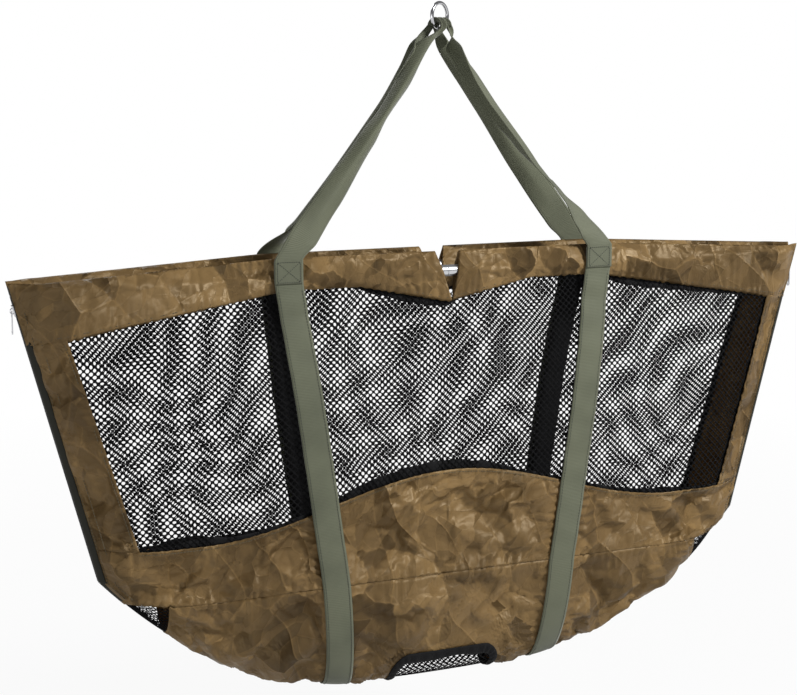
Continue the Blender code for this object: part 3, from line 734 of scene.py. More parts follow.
for wall_name, wall in WALLS.items():
    for end_name, end in ENDS.items():
        height = window_corner_z - FOOT[wall]
        columns, rows = 22, 90
        border_point = laid_on_wall(
            lambda across, z: mix(window_side_x(z) - 0.002, outline_x(z), across),
            lambda x: FOOT[wall],
            window_top_z,
            wall,
            end,
        )

        def border_push(across, along, co, seed=3 + wall + 2 * end):
            from_window, from_zip = across * border_width, (1 - across) * border_width
            room = room_at(across, border_width) * room_at(along, height)
            gathers = pucker(from_window, co.z, seed) + pucker(from_zip, co.z, seed + 3)
            return (room * (0.8 * crumpled(co.x, co.z, seed) - 0.001) + gathers) * beside_lap(from_zip)

        mesh = sheet_mesh(
            f"{wall_name}_border_{end_name}_cloth", border_point, columns, rows, border_push, outward(wall)
        )
        piece = add_piece(mesh, nylon, thickness=cloth_thickness)
        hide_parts(f"{wall_name}_border_{end_name}")
        edges = sewn_edges(columns, rows)
        slacken(piece, lambda index, place, edges=edges: edges(index, place) or by_zip(place), growth=0.035)
print("four borders")

# %% Lower bands
corner_fold_x = 0.415
corner_fold_width = 0.03


def corner_tuck(x, along):
    """The deep fold from the window's lower corner towards the corner net."""
    middle = corner_fold_x - 0.03 * (1 - along)
    share = (abs(x) - middle) / corner_fold_width
    return 0.011 * math.exp(-share * share) * smooth(along * 3) * smooth((1 - along) * 5)


for wall_name, wall in WALLS.items():
    band_point = laid_on_wall(
        lambda across, z: (2 * across - 1) * outline_x(z),
        lambda x: seam_z,
        lambda x: window_foot_line(x, wall),
        wall,
        loose=True,
    )

    def band_push(across, along, co, wall=wall, seed=21 + wall):
        length = window_foot_line(co.x, wall) - seam_z
        room = room_at(along, length) * room_at(across, 0.9) * strap_room_at(co.x, co.z)
        gathers = pucker(along * length, co.x, seed) + pucker((1 - along) * length, co.x, seed + 2)
        gathers += 1.4 * pucker(abs(past_strap(co.x, co.z)), co.z, seed + 5)
        crumple = room * (crumpled(co.x, co.z, seed) - 0.002) + gathers
        return crumple * beside_lap(outline_x(co.z) - abs(co.x)) - corner_tuck(co.x, along)

    columns, rows = 290, {FRONT: 46, BACK: 28}[wall]
    mesh = sheet_mesh(f"{wall_name}_band_cloth", band_point, columns, rows, band_push, outward(wall))
    piece = add_piece(mesh, nylon, thickness=cloth_thickness)
    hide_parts(f"{wall_name}_lower_band")
    edges = sewn_edges(columns, rows)

    def band_held(index, place, edges=edges):
        return edges(index, place) or under_strap(place) or by_zip(place)

    slacken(piece, band_held, growth=0.045)
print("two lower bands")

# %% [markdown]
# ## The floor
#
# The floor is one hammock of nylon, sewn to both bands, with a net let into the keel so that water runs out.
# The panel is a half ellipse in section that gets shallower towards the ends. The hole is cut by leaving out
# the cells inside it.

# %% Floor panel
floor_net_half_length = 0.082
floor_net_half_angle = math.radians(42)
corner_net_length = 0.049
corner_net_end_gap = 0.0045
corner_end_x = outline_x(seam_z) - corner_net_end_gap
corner_x = corner_end_x - corner_net_length
net_arc = 0.08  # metres of net for each radian round the floor
crumple_arc = 0.11  # the same for the crumple's pattern
hole_corner = 0.026


def inside_hole(x, arc, more=0.0):
    """Is a place inside the rounded hole of the floor, or within so much more of it?"""
    over_x = abs(x) - floor_net_half_length + hole_corner
    over_arc = abs(arc) - floor_net_half_angle * net_arc + hole_corner
    return math.hypot(max(over_x, 0), max(over_arc, 0)) + min(max(over_x, over_arc), 0) < hole_corner + more


def beside_hole(place, more):
    """The same for a place on the floor's cloth."""
    sideways = place.y / max(wall_depth(place.x, seam_z), 0.001)
    return inside_hole(place.x, math.asin(clamp(sideways, -1.0, 1.0)) * net_arc, more)


def floor_out(x, angle):
    """The direction out of the bag from the floor."""
    depth, height = wall_depth(x, seam_z), seam_z - keel_z(x)
    return Vector((0, height * math.sin(angle), -depth * math.cos(angle))).normalized()


def floor_height(x, angle, seed=40):
    """How far the crumpled floor stands out at a place."""
    from_hole = max(abs(x) - floor_net_half_length, (abs(angle) - floor_net_half_angle) * net_arc)
    from_seam = (math.pi / 2 - abs(angle)) * net_arc
    from_end = corner_x - abs(x)
    z = floor_point(x, angle).z
    room = smooth(min(from_hole, from_seam, from_end) / seam_width) * strap_room_at(x, z)
    side = math.copysign(1, angle)
    fold = loose_fold(x, z, abs(angle) / (math.pi / 2)) * smooth(from_hole / webbing_width)
    flat = angle * crumple_arc
    gathers = pucker(from_seam, x, seed) + pucker(abs(from_end), flat, seed + 1)
    gathers += pucker(abs(from_hole), x + flat, seed)
    gathers += 1.4 * pucker(abs(past_strap(x, z)), flat, seed + 5)
    return room * (crumpled(x, flat, seed + side) - 0.002) + gathers - fold


def floor_spot(across, along):
    return (2 * across - 1) * corner_x, (along - 0.5) * math.pi


def floor_laid(across, along):
    x, angle = floor_spot(across, along)
    return floor_point(x, angle) + floor_out(x, angle) * floor_height(x, angle)


def rim_of(mesh):
    """The vertices on the rim of a mesh and of its hole: those on an edge with only one face."""
    uses = {}
    for polygon in mesh.polygons:
        for key in polygon.edge_keys:
            uses[key] = uses.get(key, 0) + 1
    return {vertex for key, count in uses.items() if count == 1 for vertex in key}


columns, rows = 250, 82
mesh = sheet_mesh("floor_cloth", floor_laid, columns, rows)
bm = bmesh.new()
bm.from_mesh(mesh)
hole = []
for face in bm.faces:
    column, row = face.index % columns, face.index // columns
    x, angle = floor_spot((column + 0.5) / columns, (row + 0.5) / rows)
    if inside_hole(x, angle * net_arc, -0.002):
        hole.append(face)
bmesh.ops.delete(bm, geom=hole, context="FACES")
bm.to_mesh(mesh)
bm.free()
floor_cloth = add_piece(mesh, nylon, thickness=cloth_thickness)
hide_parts("floor_panel")
rim = rim_of(mesh)
by_hole = {vertex.index for vertex in mesh.vertices if beside_hole(vertex.co, 0.008)}
sewn = rim | by_hole
slacken(floor_cloth, lambda index, place: index in sewn or under_strap(place), growth=0.045)
print("floor of", len(mesh.polygons), "faces")

# %% [markdown]
# ## The sleeves
#
# Each sleeve is a tunnel of nylon with the bar inside. The straps pull it up and its own weight hangs from
# the bar, so its section is a loop pulled over a circle: straight from the top hem to the bar, round the
# bar, and straight down to the window. Past the bar's end the tunnel lies flat on itself.

# %% Sleeve section
sleeve_rise_at_straps = 0.028
sleeve_rise_at_ends = 0.0105
notch_half_length = 0.018
notch_lean = 0.006
layer_gap = 0.0011  # from the middle between the tunnel's two layers to each of them
bore = bar_radius + 0.0012


def sleeve_top_z(x):
    outer = strap_at_mouth + webbing_width / 2
    return mouth_z + mix(sleeve_rise_at_straps, sleeve_rise_at_ends, share_of(abs(x), outer, bar_half_length))


def loop_section(bore, rise, drop, share):
    """Half of the loop, from the top hem to the lower one: distance from its middle, height over the bar."""
    pieces = []
    for reach in (rise, drop):
        reach = max(reach, bore * 1.02)
        pieces.append((math.sqrt(reach * reach - bore * bore), math.acos(bore / reach)))
    (top_line, top_turn), (low_line, low_turn) = pieces
    arc = bore * (math.pi - top_turn - low_turn)
    place = share * (top_line + arc + low_line)
    if place < top_line:
        part = place / top_line
        return mix(layer_gap, bore * math.sin(top_turn), part), mix(rise, bore * math.cos(top_turn), part)
    if place < top_line + arc:
        turn = top_turn + (place - top_line) / bore
        return bore * math.sin(turn), bore * math.cos(turn)
    part = (place - top_line - arc) / low_line
    return mix(bore * math.sin(low_turn), layer_gap, part), -mix(bore * math.cos(low_turn), drop, part)


def sleeve_point(wall, end):
    def point(around, along):
        side = 1 if around < 0.5 else -1
        share = 2 * around if side > 0 else 2 - 2 * around
        start = notch_half_length * (1 - share) + 0.0005 + end * notch_lean * share
        x = mix(start, mouth_half_length, along)
        past_bar = smooth(share_of(x, cap_end_x, mouth_half_length))
        middle_y = mix(bar_half_spacing, edge_half_depth + 0.001, past_bar)
        low_z = window_top_z(x) - 0.002
        rise, drop = sleeve_top_z(x) - mouth_z, mouth_z - low_z
        width, height = loop_section(mix(bore, layer_gap, past_bar), rise, drop, share)
        z = mouth_z + height
        x += (outline_x(z) - mouth_half_length) * smooth(share_of(along, 0.75, 1))
        low_y = wall_depth(x, low_z)
        y = mix(middle_y, low_y, share_of(z, mouth_z, low_z))
        return Vector((end * x, wall * (y + side * width), z))

    return point


# %% Sleeves
columns, rows = 48, 220
for wall_name, wall in WALLS.items():
    for end_name, end in ENDS.items():

        def sleeve_push(around, along, co, seed=60 + wall + 2 * end):
            share = 2 * min(around, 1 - around)
            room = room_at(share, 0.06) * smooth(along * 40) * smooth((1 - along) * 30)
            under_patch = strap_room_at(co.x, mouth_z)
            past_bar = 1 - share_of(abs(co.x), bar_half_length, mouth_half_length)
            creases = max(-0.0004, crumpled(co.x, co.z * 0.8, seed) * 0.7)
            creases = creases * under_patch * room * mix(0.3, 1, past_bar)
            return creases + pucker((1 - share) * 0.05, co.x, seed) * under_patch

        def from_bar(place, wall=wall):
            return place - Vector((place.x, wall * bar_half_spacing, mouth_z))

        mesh = sheet_mesh(
            f"{wall_name}_sleeve_{end_name}_cloth",
            sleeve_point(wall, end),
            columns,
            rows,
            sleeve_push,
            from_bar,
            closed=True,
        )
        piece = add_piece(mesh, nylon, thickness=cloth_thickness)
        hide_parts(f"{wall_name}_sleeve_{end_name}")

        def round_bar(place, wall=wall):
            """Keeps the tunnel's cloth outside the bar."""
            from_axis = Vector((place.y - wall * bar_half_spacing, place.z - mouth_z))
            reach = bore - 0.0002
            if abs(place.x) < cap_end_x + 0.004 and from_axis.length < reach:
                from_axis = from_axis.normalized() * reach
                return Vector((place.x, wall * bar_half_spacing + from_axis.x, mouth_z + from_axis.y))
            return place

        edges = sewn_edges(columns, rows, closed=True)

        def hemmed(index, place, edges=edges, columns=columns):
            around = index % columns / columns
            share = 2 * min(around, 1 - around)
            patched = abs(abs(place.x) - strap_at_mouth) < webbing_width / 2
            return edges(index, place) or share < 0.03 or share > 0.94 or patched

        slacken(piece, hemmed, growth=0.03, keep_clear=round_bar)
print("four sleeves")

# %% [markdown]
# Now the panels are let go. The seams, the hems and the cloth under the webbing stay where they are, so small
# gathers form along them, and longer creases run between them.

# %% Let the nylon crumple
crumple_all()

# %% [markdown]
# ## The net
#
# The windows are knitted net: square cells stand on their corners, and the knots round each hole off. Every
# cell shares its corners with its neighbours. The cord between two holes is a ridge in front and a ridge
# behind, and it runs down to the edge of each hole. That makes a closed, rounded cord with few faces. Nets
# hang unevenly, so the lattice is bent by a slow noise, which is what gives two nets behind each other their
# swirling pattern.

# %% One cell of the net
mesh_pitch = 0.0067
hole_radius = 0.0028
row_step = mesh_pitch * math.sqrt(0.5)
CELL = [(row_step, 0.0), (0.0, row_step), (-row_step, 0.0), (0.0, -row_step)]
HOLE_TURNS = [math.pi / 4 * (step + 0.5) for step in range(8)]
HOLE = [Vector((math.cos(turn), math.sin(turn))) * hole_radius for turn in HOLE_TURNS]
print("holes", round(2 * hole_radius * 1000, 1), "mm wide,", mesh_pitch * 1000, "mm apart")


def bent(u, v, seed, amount=0.007):
    wander = noise.noise_vector(Vector((u * 7, v * 7, seed))) * amount
    wander += noise.noise_vector(Vector((u * 19, v * 19, seed + 9))) * amount * 0.28
    return u + wander.x, v + wander.y


# %% The whole net
def net_mesh(name, inside, hold, lay, reach, seed, turn=0.0, amount=0.007, half_cord=0.0007):
    """Cells over a flat region that lies within reach of (0, 0).

    inside(u, v) says which cells are kept, hold(u, v) keeps a corner on the cloth, and lay(u, v) gives a
    place and the direction out of the net. The reach is stretched, so that a turned lattice still covers."""
    vertices, faces, corners = [], [], {}
    cosine, sine = math.cos(turn), math.sin(turn)
    span = int(reach * 1.5 / row_step) + 2

    def laid(u, v):
        u, v = u * cosine - v * sine, u * sine + v * cosine
        return lay(*hold(*bent(u, v, seed, amount)))

    def corner(u, v):
        key = (round(u / row_step * 8), round(v / row_step * 8))
        if key not in corners:
            place, out = laid(u, v)
            corners[key] = len(vertices)
            vertices.extend((place + out * half_cord, place - out * half_cord))
        return corners[key]

    for row in range(-span, span + 1):
        for column in range(-span, span + 1):
            u = (2 * column + row % 2) * row_step
            v = row * row_step
            if not inside(*bent(u * cosine - v * sine, u * sine + v * cosine, seed, amount)):
                continue
            outer = [corner(u + du, v + dv) for du, dv in CELL]
            first = len(vertices)
            vertices.extend(laid(u + hole.x, v + hole.y)[0] for hole in HOLE)
            for index in range(4):
                here, after = outer[index], outer[(index + 1) % 4]
                before, near, far = (first + (2 * index + step) % 8 for step in (-1, 0, 1))
                faces.append((here, after, far, near))
                faces.append((after + 1, here + 1, near, far))
                faces.append((here, near, before))
                faces.append((here + 1, before, near))
    return plain_mesh(name, vertices, faces)


# %% Window nets
under_cloth = 0.004


def in_window(x, z, wall, margin=0.004):
    inside = window_foot_line(x, wall) - margin < z < window_top_z(x) + margin
    return inside and abs(x) < window_side_x(z) + margin


def hold_in_window(x, z, wall):
    z = clamp(z, window_foot_line(x, wall) - under_cloth, window_top_z(x) + under_cloth)
    side = window_side_x(z) + under_cloth
    return clamp(x, -side, side), z


def net_hang(x, z, wall):
    """A place on a window net, which bellies in and out a little between its seams."""
    sway = 0.004 * noise.noise(Vector((x * 9, z * 9, wall * 4))) * strap_room_at(x, z)
    return wall_point(x, z, wall, 0.003 + abs(sway))


for wall_name, wall in WALLS.items():

    def lay_window(x, z, wall=wall):
        return net_hang(x, z, wall), Vector((0, wall, 0))

    mesh = net_mesh(
        f"{wall_name}_window_net",
        lambda x, z: in_window(x, z, wall),
        lambda x, z: hold_in_window(x, z, wall),
        lay_window,
        reach=0.40 - mouth_z,
        seed=80 + 5 * wall,
        turn=math.radians(3 * wall + 2),
    )
    piece = add_piece(mesh, twine)
    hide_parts(f"{wall_name}_net_window")
    print(mesh.name, len(mesh.polygons), "faces")

# %% [markdown]
# ## Nets in the floor
#
# The same cells fill the drain net at the keel and the two corner nets. Their flat place is x along the bag
# and the distance round the floor's section.

# %% Floor nets
keel_arc = floor_net_half_angle * net_arc
corner_arc = 0.122
hem_width = 0.0125
hem_corner_share = 0.4  # of each quarter of the way round the hem
tape_thickness = 0.0008


def lay_floor(x, arc):
    angle = clamp(arc / net_arc, -1.5, 1.5)
    return floor_point(x, angle) - floor_out(x, angle) * 0.001, floor_out(x, angle)


def hold_in_keel(x, arc):
    return clamp(x, -floor_net_half_length, floor_net_half_length), clamp(arc, -keel_arc, keel_arc)


mesh = net_mesh(
    "keel_net",
    lambda x, arc: inside_hole(x, arc, 0.001),
    hold_in_keel,
    lay_floor,
    reach=0.09,
    seed=95,
    amount=0.002,
)
keel_net = add_piece(mesh, twine)
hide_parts("floor_net")


def hem_path(share):
    """A place on the rounded rim of the hole and the direction in from it, as x and arc.

    Each quarter goes round a corner first, and then straight on to the next."""
    straight_x, straight_arc = floor_net_half_length - hole_corner, keel_arc - hole_corner
    turns = [(1, 1), (-1, 1), (-1, -1), (1, -1)]
    middles = [Vector((x * straight_x, arc * straight_arc)) for x, arc in turns]
    quarter, part = divmod(share % 1.0 * 4, 1.0)
    quarter = int(quarter)
    angle = math.pi / 2 * (quarter + min(part / hem_corner_share, 1))
    on = max(part - hem_corner_share, 0) / (1 - hem_corner_share)
    out = Vector((math.cos(angle), math.sin(angle)))
    return middles[quarter].lerp(middles[(quarter + 1) % 4], on) + out * hole_corner, -out


def hem_point(around, across):
    """The folded hem of the keel net, laid over the nylon's edge and puckered by its thread."""
    rim, inward = hem_path(around)
    uneven = 0.004 * noise.noise(Vector((rim.x * 22, rim.y * 22, 4)))
    spot = rim - inward * 0.003 + inward * (hem_width + uneven) * across
    gather = 0.001 * math.sin(around * 260) * (1 - abs(2 * across - 1))
    angle = spot.y / net_arc
    swell = 0.0011 * (1 - (2 * across - 1) ** 2)
    return floor_point(spot.x, angle) + floor_out(spot.x, angle) * (0.0016 + swell + gather)


mesh = sheet_mesh("keel_hem", hem_point, 260, 5, closed=True)
add_piece(mesh, binding, thickness=tape_thickness)

for end_name, end in ENDS.items():
    low_x, high_x = sorted((end * corner_x, end * corner_end_x))
    mesh = net_mesh(
        f"corner_{end_name}_net",
        lambda x, arc: low_x < x < high_x and abs(arc) < corner_arc,
        lambda x, arc: (clamp(x, low_x, high_x), clamp(arc, -corner_arc - 0.002, corner_arc + 0.002)),
        lay_floor,
        reach=0.46,
        seed=97 + end,
        amount=0.002,
    )
    piece = add_piece(mesh, twine)
    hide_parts(f"corner_net_{end_name}")
print("keel net and two corner nets")

# %% [markdown]
# ## Binding
#
# The raw edge of each window net is bound with black tape inside the bag, and more black tape backs the
# straps. From outside only a thin line of it shows, but the far wall shows all of it through the net.

# %% Window bindings
tape_width = 0.013
HEM_TOP = {
    -0.53: 0.001, -0.26: 0.002, -0.16: 0.001, -0.11: 0.009, -0.05: 0.013, -0.01: 0.011,
    0.02: 0.002, 0.06: 0.001, 0.2: 0.004, 0.3: 0.013, 0.53: 0.006,
}
HEM_FOOT = {
    -0.45: 0.001, -0.41: 0.004, -0.36: 0.011, -0.30: 0.004, -0.2: 0.003, -0.12: 0.013,
    -0.02: 0.014, 0.05: 0.010, 0.11: 0.003, 0.3: 0.005, 0.45: 0.002,
}


def stops_at(table, place):
    """The value at a place in a table of stops, eased from each stop to the next."""
    stops = sorted(table)
    for low, high in zip(stops, stops[1:]):
        if place <= high:
            return mix(table[low], table[high], smooth(share_of(place, low, high)))
    return table[stops[-1]]


def shown_hem(table, x):
    """How much of the hem shows at x, because the nylon rolls over it here and back from it there."""
    ripple = 0.0008 * math.sin(x * 160) if x <= max(table) else 0.0
    return stops_at(table, x) + ripple


def level_line(half_length, height_at):
    """A line of places from one side of a window to the other, as a function of a share."""

    def at(share):
        x = mix(-half_length, half_length, share)
        return x, height_at(x)

    return at


def upright_line(low_z, high_z, x_at):
    """The same, up the wall."""

    def at(share):
        z = mix(low_z, high_z, share)
        return x_at(z), z

    return at


def tape_strip(name, wall, count, start, end):
    """A strip of so many faces in length between two lines of places on the wall."""

    def point(across, along):
        x0, z0 = start(along)
        x1, z1 = end(along)
        x, z = mix(x0, x1, across), mix(z0, z1, across)
        return wall_point(x, z, wall, 0.0048 + 0.0008 * math.sin(along * count * 0.9))

    return sheet_mesh(name, point, 3, count)


def joined(name, meshes):
    bm = bmesh.new()
    for mesh in meshes:
        bm.from_mesh(mesh)
        bpy.data.meshes.remove(mesh)
    mesh = bpy.data.meshes.new(name)
    bm.to_mesh(mesh)
    bm.free()
    return mesh


hidden_tape = tape_width * 0.2
half_backing = webbing_width * 0.42
for wall_name, wall in WALLS.items():
    top, foot = window_top_half_length, window_foot_half_length
    strips = [
        tape_strip(
            "top",
            wall,
            160,
            level_line(top, lambda x: window_top_z(x) + hidden_tape),
            level_line(top, lambda x: window_top_z(x) - shown_hem(HEM_TOP, x)),
        ),
        tape_strip(
            "foot",
            wall,
            160,
            level_line(foot, lambda x: window_foot_line(x, wall) + shown_hem(HEM_FOOT, x)),
            level_line(foot, lambda x: window_foot_line(x, wall) - hidden_tape),
        ),
    ]
    for end in ENDS.values():
        low, high = FOOT[wall], window_corner_z
        sides = [
            upright_line(low, high, lambda z: end * (window_side_x(z) - 0.0025 - 0.002 * end)),
            upright_line(low, high, lambda z: end * (window_side_x(z) + hidden_tape)),
        ]
        strips.append(tape_strip("side", wall, 60, *sides))
        low, high = window_foot_line(strap_at_seam, wall) - 0.02, window_top_z(strap_at_mouth)
        edges = [
            upright_line(low, high, lambda z: end * (strap_x(z) - half_backing)),
            upright_line(low, high, lambda z: end * (strap_x(z) + half_backing)),
        ]
        strips.append(tape_strip("backing", wall, 60, *edges))
    mesh = joined(f"{wall_name}_binding", strips)
    add_piece(mesh, binding, thickness=tape_thickness)
print("bindings and backings")

# %% [markdown]
# ## Webbing
#
# The straps are belts laid over the nylon: down the wall, under the floor and up the other side. The bridles
# start on the ring, where the belt is folded into a narrow loop, and open out to their full width on the way
# down to their sewn patches. The sling is empty, so their four legs hang slack. Each leg has its own table
# of how wide it opens, how far it turns and how far it hangs aside.

# %% Straps
webbing_thickness = 0.0018
belt_crown = 0.0006  # how far the middle of a belt stands over its edges
air_gap = 0.0003
sleeve_bore = bar_radius + air_gap
sleeve_thickness = 0.0012
strap_flat_y = bar_half_spacing + sleeve_bore + sleeve_thickness + air_gap + webbing_thickness / 2
strap_rest = cloth_thickness + air_gap + webbing_thickness / 2 + belt_crown
patch_top_z = mouth_z + sleeve_rise_at_straps
patch_height = 0.033
strap_floor_share = 0.3
strap_length = 1.32


def strap_point(end, across, along):
    half = (across - 0.5) * webbing_width
    run = 2 * along - 1
    crown = belt_crown * (1 - (2 * across - 1) ** 2)
    if abs(run) >= strap_floor_share:
        wall = FRONT if run < 0 else BACK
        z = mix(seam_z, patch_top_z - 0.003, share_of(abs(run), strap_floor_share, 1.0))
        x = strap_x(z) + half
        ripple = 0.0011 * noise.noise(Vector((end * 3, wall * 5, z * 16)))
        ripple += 0.0004 * math.sin(z * 140 + across * 2)
        depth = max(strap_flat_y, wall_depth(x, z) + strap_rest)
        free = smooth(share_of(z, seam_z, seam_z + 0.02))
        free *= smooth(share_of(z, mouth_z - 0.012, mouth_z - 0.03))
        return Vector((end * x, wall * (depth + crown + (ripple + 0.0012) * free), z))
    angle = math.pi / 2 * run / strap_floor_share
    x = strap_x(floor_point(strap_at_floor, angle).z) + half
    rest = strap_rest + 0.001 * math.cos(angle) + crown
    return floor_point(end * x, angle) + floor_out(x, angle) * rest


for end_name, end in ENDS.items():
    mesh = sheet_mesh(f"strap_{end_name}_belt", lambda a, b, end=end: strap_point(end, a, b), 12, 420)
    flat_places(mesh, 12, 420, webbing_width, strap_length)
    piece = add_piece(mesh, belt, thickness=webbing_thickness * 0.8)
    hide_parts(f"strap_{end_name}")
print("two straps")

# %% Bridles
ring_low, ring_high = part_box("hang_ring")
ring_wire = 0.0025
ring_centre_z = (ring_low[2] + ring_high[2]) / 2
ring_radius = (ring_high[2] - ring_low[2]) / 2 - ring_wire
ring_turn = math.radians(30)
ring_along = Vector((math.cos(ring_turn), math.sin(ring_turn), 0))
ring_back = Vector((-math.sin(ring_turn), math.cos(ring_turn), 0))
width_at_ring = 0.011
gutter_depth = 0.0065  # how far the folded belt's edges stand over its middle
wire_bend = math.asin((width_at_ring + air_gap) / ring_radius)
wire_top = ring_radius * (1 - math.cos(wire_bend)) + ring_wire / math.cos(wire_bend)
loop_radius = (wire_top + ring_wire) / 2 + air_gap + webbing_thickness / 2
hang_point = Vector((0, 0, ring_centre_z - ring_radius + (wire_top - ring_wire) / 2))
patch_y = strap_flat_y + webbing_thickness + air_gap
bridle_length = 0.9

# The share of half a bridle that arches over the ring, and the share where its patch begins.
ARCH, PATCH = 0.16, 0.86

# Width in metres, turn in degrees and metres aside, at shares of the way from the ring to the patch.
LEGS = {
    (LEFT, FRONT): (
        {0.0: 0.021, 0.2: 0.020, 0.36: 0.0155, 0.48: 0.024, 0.75: 0.035, 0.92: 0.04},
        {0.0: 0},
        {0.0: 0},
    ),
    (LEFT, BACK): (
        {0.0: 0.020, 0.3: 0.030, 0.7: 0.034, 0.9: 0.034, 1.0: 0.04},
        {0.0: 0, 0.12: 73, 0.9: 73, 1.0: 0},
        {0.0: 0, 0.2: 0.009, 0.36: 0.0135, 0.86: 0.0135, 1.0: 0},
    ),
    (RIGHT, BACK): (
        {0.0: 0.028, 0.33: 0.030, 0.62: 0.038, 0.85: 0.04},
        {0.0: 0, 0.6: -14, 0.95: 0},
        {0.0: 0},
    ),
    (RIGHT, FRONT): (
        {0.0: 0.026, 0.3: 0.027, 0.5: 0.036, 0.7: 0.04},
        {0.0: 0, 0.1: -100, 0.33: -90, 0.5: -78, 0.62: -68, 0.76: -60, 0.88: -36, 1.0: 0},
        {0.0: 0, 0.2: -0.004, 0.5: -0.004, 0.8: 0},
    ),
}


def bridle_point(end, across, along):
    side_share = 2 * across - 1
    run_all = 2 * along - 1
    wall = FRONT if run_all < 0 else BACK
    run = abs(run_all)
    loop_centre = hang_point + ring_along * end * (air_gap + width_at_ring / 2)
    gutter = abs(side_share) ** 1.5
    if run <= ARCH:
        angle = math.pi / 2 * run_all / ARCH
        out = ring_back * math.sin(angle) + Vector((0, 0, math.cos(angle)))
        lift = loop_radius + gutter_depth * gutter
        return loop_centre + out * lift + ring_along * side_share * width_at_ring / 2
    start = loop_centre + ring_back * wall * loop_radius
    patch_top = Vector((end * strap_at_mouth, wall * patch_y, patch_top_z))
    if run >= PATCH:
        down = patch_height * share_of(run, PATCH, 1.0)
        return patch_top - Vector((0, 0, down)) + Vector((side_share * webbing_width / 2, 0, 0))
    leg = share_of(run, ARCH, PATCH)
    direction = (patch_top - start).normalized()
    flat = Vector((1, 0, 0))
    square = (flat - direction * direction.dot(flat)).normalized()
    side = mix(flat, square, smooth((1 - leg) / 0.14))
    side = mix(ring_along, side, smooth(leg / 0.25)).normalized()
    face = direction.cross(side).normalized()
    face *= math.copysign(1, face.dot(ring_back * wall))
    spread, turned, aside = (stops_at(table, leg) for table in LEGS[end, wall])
    width = mix(width_at_ring, spread, smooth(leg / 0.08))
    cosine, sine = math.cos(math.radians(turned)), math.sin(math.radians(turned))
    side, face = side * cosine + face * sine, face * cosine - side * sine
    gathered = 0.85 * math.sqrt(max(0.0, (webbing_width / 2) ** 2 - (width / 2) ** 2)) * wall
    valley = mix(gutter_depth, gathered, smooth(leg / 0.1))
    sag = Vector((0, 0, -0.006)) * math.sin(math.pi * leg) + Vector((aside, 0, 0))
    return mix(start, patch_top, leg) + side * side_share * width / 2 + face * valley * gutter + sag


for end_name, end in ENDS.items():
    mesh = sheet_mesh(f"bridle_{end_name}_belt", lambda a, b, end=end: bridle_point(end, a, b), 14, 360)
    flat_places(mesh, 14, 360, webbing_width, bridle_length)
    piece = add_piece(mesh, belt, thickness=webbing_thickness * 0.8)
    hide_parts(f"bridle_{end_name}")
print("two bridles on the ring at", round(ring_centre_z, 4))

# %% [markdown]
# ## The ring and the bars
#
# The ring is bent from round wire, and it hangs square to the light, so it needs a fine torus. The bars are
# plain tube with a small chamfer at their cut ends. Little of them shows, but the notch in the middle of
# each sleeve bares the joint of the two halves.

# %% Ring
bpy.ops.mesh.primitive_torus_add(
    major_radius=ring_radius, minor_radius=ring_wire, major_segments=96, minor_segments=24
)
made = bpy.context.object
ring_mesh = made.data
ring_mesh.name = "steel_ring"
bpy.data.objects.remove(made)
turn = Matrix.Rotation(ring_turn, 4, "Z") @ Matrix.Rotation(math.pi / 2, 4, "X")
ring_mesh.transform(Matrix.Translation((0, 0, ring_centre_z)) @ turn)
ring_piece = add_piece(ring_mesh, chrome, body="ring")
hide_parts("hang_ring")

# %% Bars
bar_wall = 0.0012
chamfer = 0.0004
joint_gap = 0.00015


def tube_mesh(name, length, outer, inner, sides=48):
    """A tube along x, from its section as radius and x."""
    profile = [
        (outer - chamfer, joint_gap),
        (outer, chamfer),
        (outer, length - chamfer),
        (outer - chamfer, length),
        (inner, length),
        (inner, joint_gap),
    ]
    count = len(profile)
    places, faces = [], []
    for step in range(sides):
        angle = 2 * math.pi * step / sides
        places.extend((x, r * math.cos(angle), r * math.sin(angle)) for r, x in profile)
        after = (step + 1) % sides
        for k in range(count):
            n = (k + 1) % count
            faces.append((step * count + k, after * count + k, after * count + n, step * count + n))
    return plain_mesh(name, places, faces)


for wall_name, wall in WALLS.items():
    for end_name, end in ENDS.items():
        mesh = tube_mesh(f"{wall_name}_tube_{end_name}", bar_half_length, bar_radius, bar_radius - bar_wall)
        moved = Matrix.Translation((0, wall * bar_half_spacing, mouth_z))
        mesh.transform(moved @ Matrix.Diagonal((end, 1, 1, 1)))
        piece = add_piece(mesh, tube)
        mesh.set_sharp_from_angle(angle=math.radians(35))
        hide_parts(f"{wall_name}_bar_{end_name}")
print("ring and four tubes")

# %% [markdown]
# ## Stitching
#
# Seams are what makes cloth look sewn. A stitch is a short thread that dips into the cloth at both ends, so
# each one is a small arched tube. A helper walks along a line of places and sets stitches at an even pitch.


# %% Stitch maker
STITCH_SHARES = (-0.5, -0.38, 0.0, 0.38, 0.5)
stitch_sides = 5
faces_per_stitch = (len(STITCH_SHARES) - 1) * stitch_sides


def walk(places, outs, pitch):
    """Places at an even pitch along a line, with the directions along it and out of the cloth."""
    found, left = [], pitch / 2
    for first, second, out in zip(places, places[1:], outs):
        step = (second - first).length
        while step > 0 and left <= step:
            found.append((mix(first, second, left / step), (second - first).normalized(), out))
            left += pitch
        left -= step
    return found


def sew(vertices, faces, places, outs, pitch=0.0042, fill=0.72, gauge=0.00042, lift=0.0):
    for middle, along, out in walk(places, outs, pitch):
        across = along.cross(out).normalized()
        join_rings(faces, len(vertices), len(STITCH_SHARES), stitch_sides)
        for share in STITCH_SHARES:
            rise = lift + gauge * (1.1 - 8.5 * share * share)
            centre = middle + along * share * pitch * fill + out * rise
            for k in range(stitch_sides):
                angle = 2 * math.pi * k / stitch_sides
                vertices.append(centre + across * gauge * math.cos(angle) + out * gauge * math.sin(angle))


